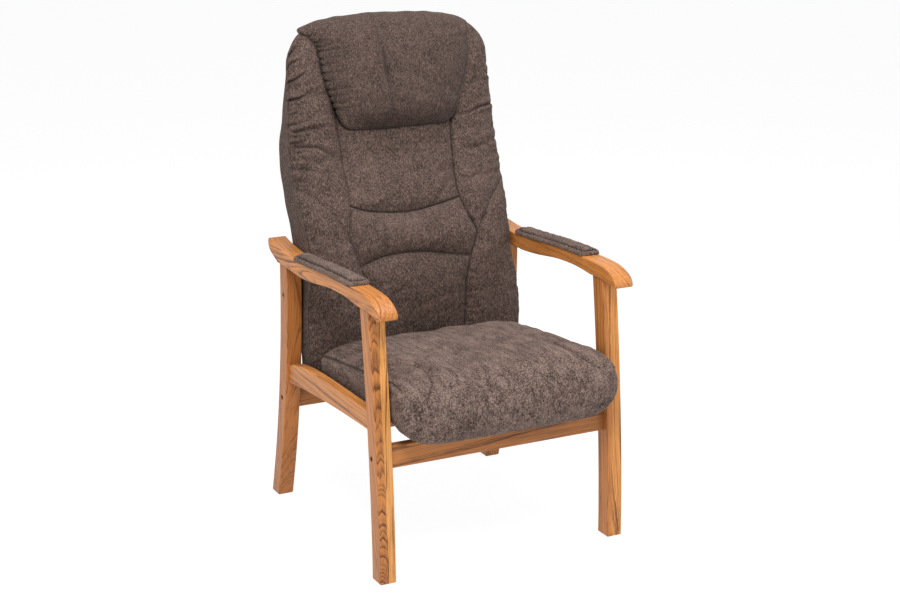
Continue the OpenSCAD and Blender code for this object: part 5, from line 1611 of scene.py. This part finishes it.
# %% Floor, lamps and sky
def seen_directly(tree):
    """1 for a ray by which the camera sees a thing, also in a mirror or through glass, and 0
    for a ray that only carries light."""
    rays = add(tree, "ShaderNodeLightPath")
    seen = math_node(tree, "MAXIMUM", (rays, "Is Camera Ray"), (rays, "Is Glossy Ray"))
    return math_node(tree, "MAXIMUM", seen, (rays, "Is Transmission Ray"))


# Half of the floor's width in mm
FLOOR = 30000
floor_points = [[-FLOOR, -FLOOR, 0], [FLOOR, -FLOOR, 0], [FLOOR, FLOOR, 0], [-FLOOR, FLOOR, 0]]
floor = make_piece("floor", floor_points, [[0, 1, 2, 3]])
paint, tree, shader, _ = new_material("floor paint")
feed(tree, shader, {"Base Color": (0.86, 0.86, 0.86, 1), "Roughness": 0.9, "Specular IOR Level": 0.1})
glow = add(tree, "ShaderNodeEmission", {"Color": (1, 1, 1, 1), "Strength": 1.16})
own_light = math_node(tree, "MULTIPLY", seen_directly(tree), 0.8)
both = add(tree, "ShaderNodeMixShader", {0: own_light, 1: (shader, 0), 2: (glow, 0)})
feed(tree, tree.nodes["Material Output"], {"Surface": (both, 0)})
finish_with(floor, paint)

world = bpy.data.worlds.new("studio")
bpy.context.scene.world = world
world.use_nodes = True
tree = world.node_tree
strength = span(tree, seen_directly(tree), 0, 1, 0.2, 1.0)
feed(tree, tree.nodes["Background"], {"Color": (1, 1, 1, 1), "Strength": strength})

# Square soft lamps, all turned to the middle of the chair: place in metres, width, power
for name, where, size, power in (
    ("key", (-1.5, -2.5, 4.0), 1.5, 145), ("fill", (3.0, -2.0, 2.0), 2.0, 45),
    ("top", (0.3, -0.2, 3.6), 1.6, 60), ("left", (-3.4, -0.9, 1.5), 1.6, 38),
):
    light = bpy.data.lights.new(name, "AREA")
    light.shape, light.size, light.energy = "SQUARE", size, power
    lamp = bpy.data.objects.new(name, light)
    lamp.location = where
    lamp.rotation_euler = (Vector((0, 0, 0.6)) - Vector(where)).to_track_quat("-Z", "Y").to_euler()
    bpy.context.scene.collection.objects.link(lamp)
print("lamps:", len(bpy.data.lights))

# %% [markdown]
# ## Camera
#
# The camera stands where the photographer's did: to the chair's left front, a little higher
# than its top, looking 27.2 degrees to the right and 15.6 degrees down with a 70 mm lens. Its
# place was measured from the front of the feet, like everything else.

# %% Camera
# Focal length in the photograph's pixels, its width in pixels, and the sensor's in mm
FOCAL, PHOTO_W, SENSOR_W = 1754.1, 900, 36.0
lens = bpy.data.cameras.new("camera")
lens.sensor_width, lens.lens = SENSOR_W, FOCAL * SENSOR_W / PHOTO_W
camera = bpy.data.objects.new("camera", lens)
camera.location = (-1.8391, -3.2984 + FEET_Y * MM, 1.6830)
camera.rotation_euler = (math.radians(90 - 15.6), 0, math.radians(-27.2))
bpy.context.scene.collection.objects.link(camera)
bpy.context.scene.camera = camera
bpy.context.scene.view_settings.view_transform = "Standard"
print("lens in mm:", round(lens.lens, 1))
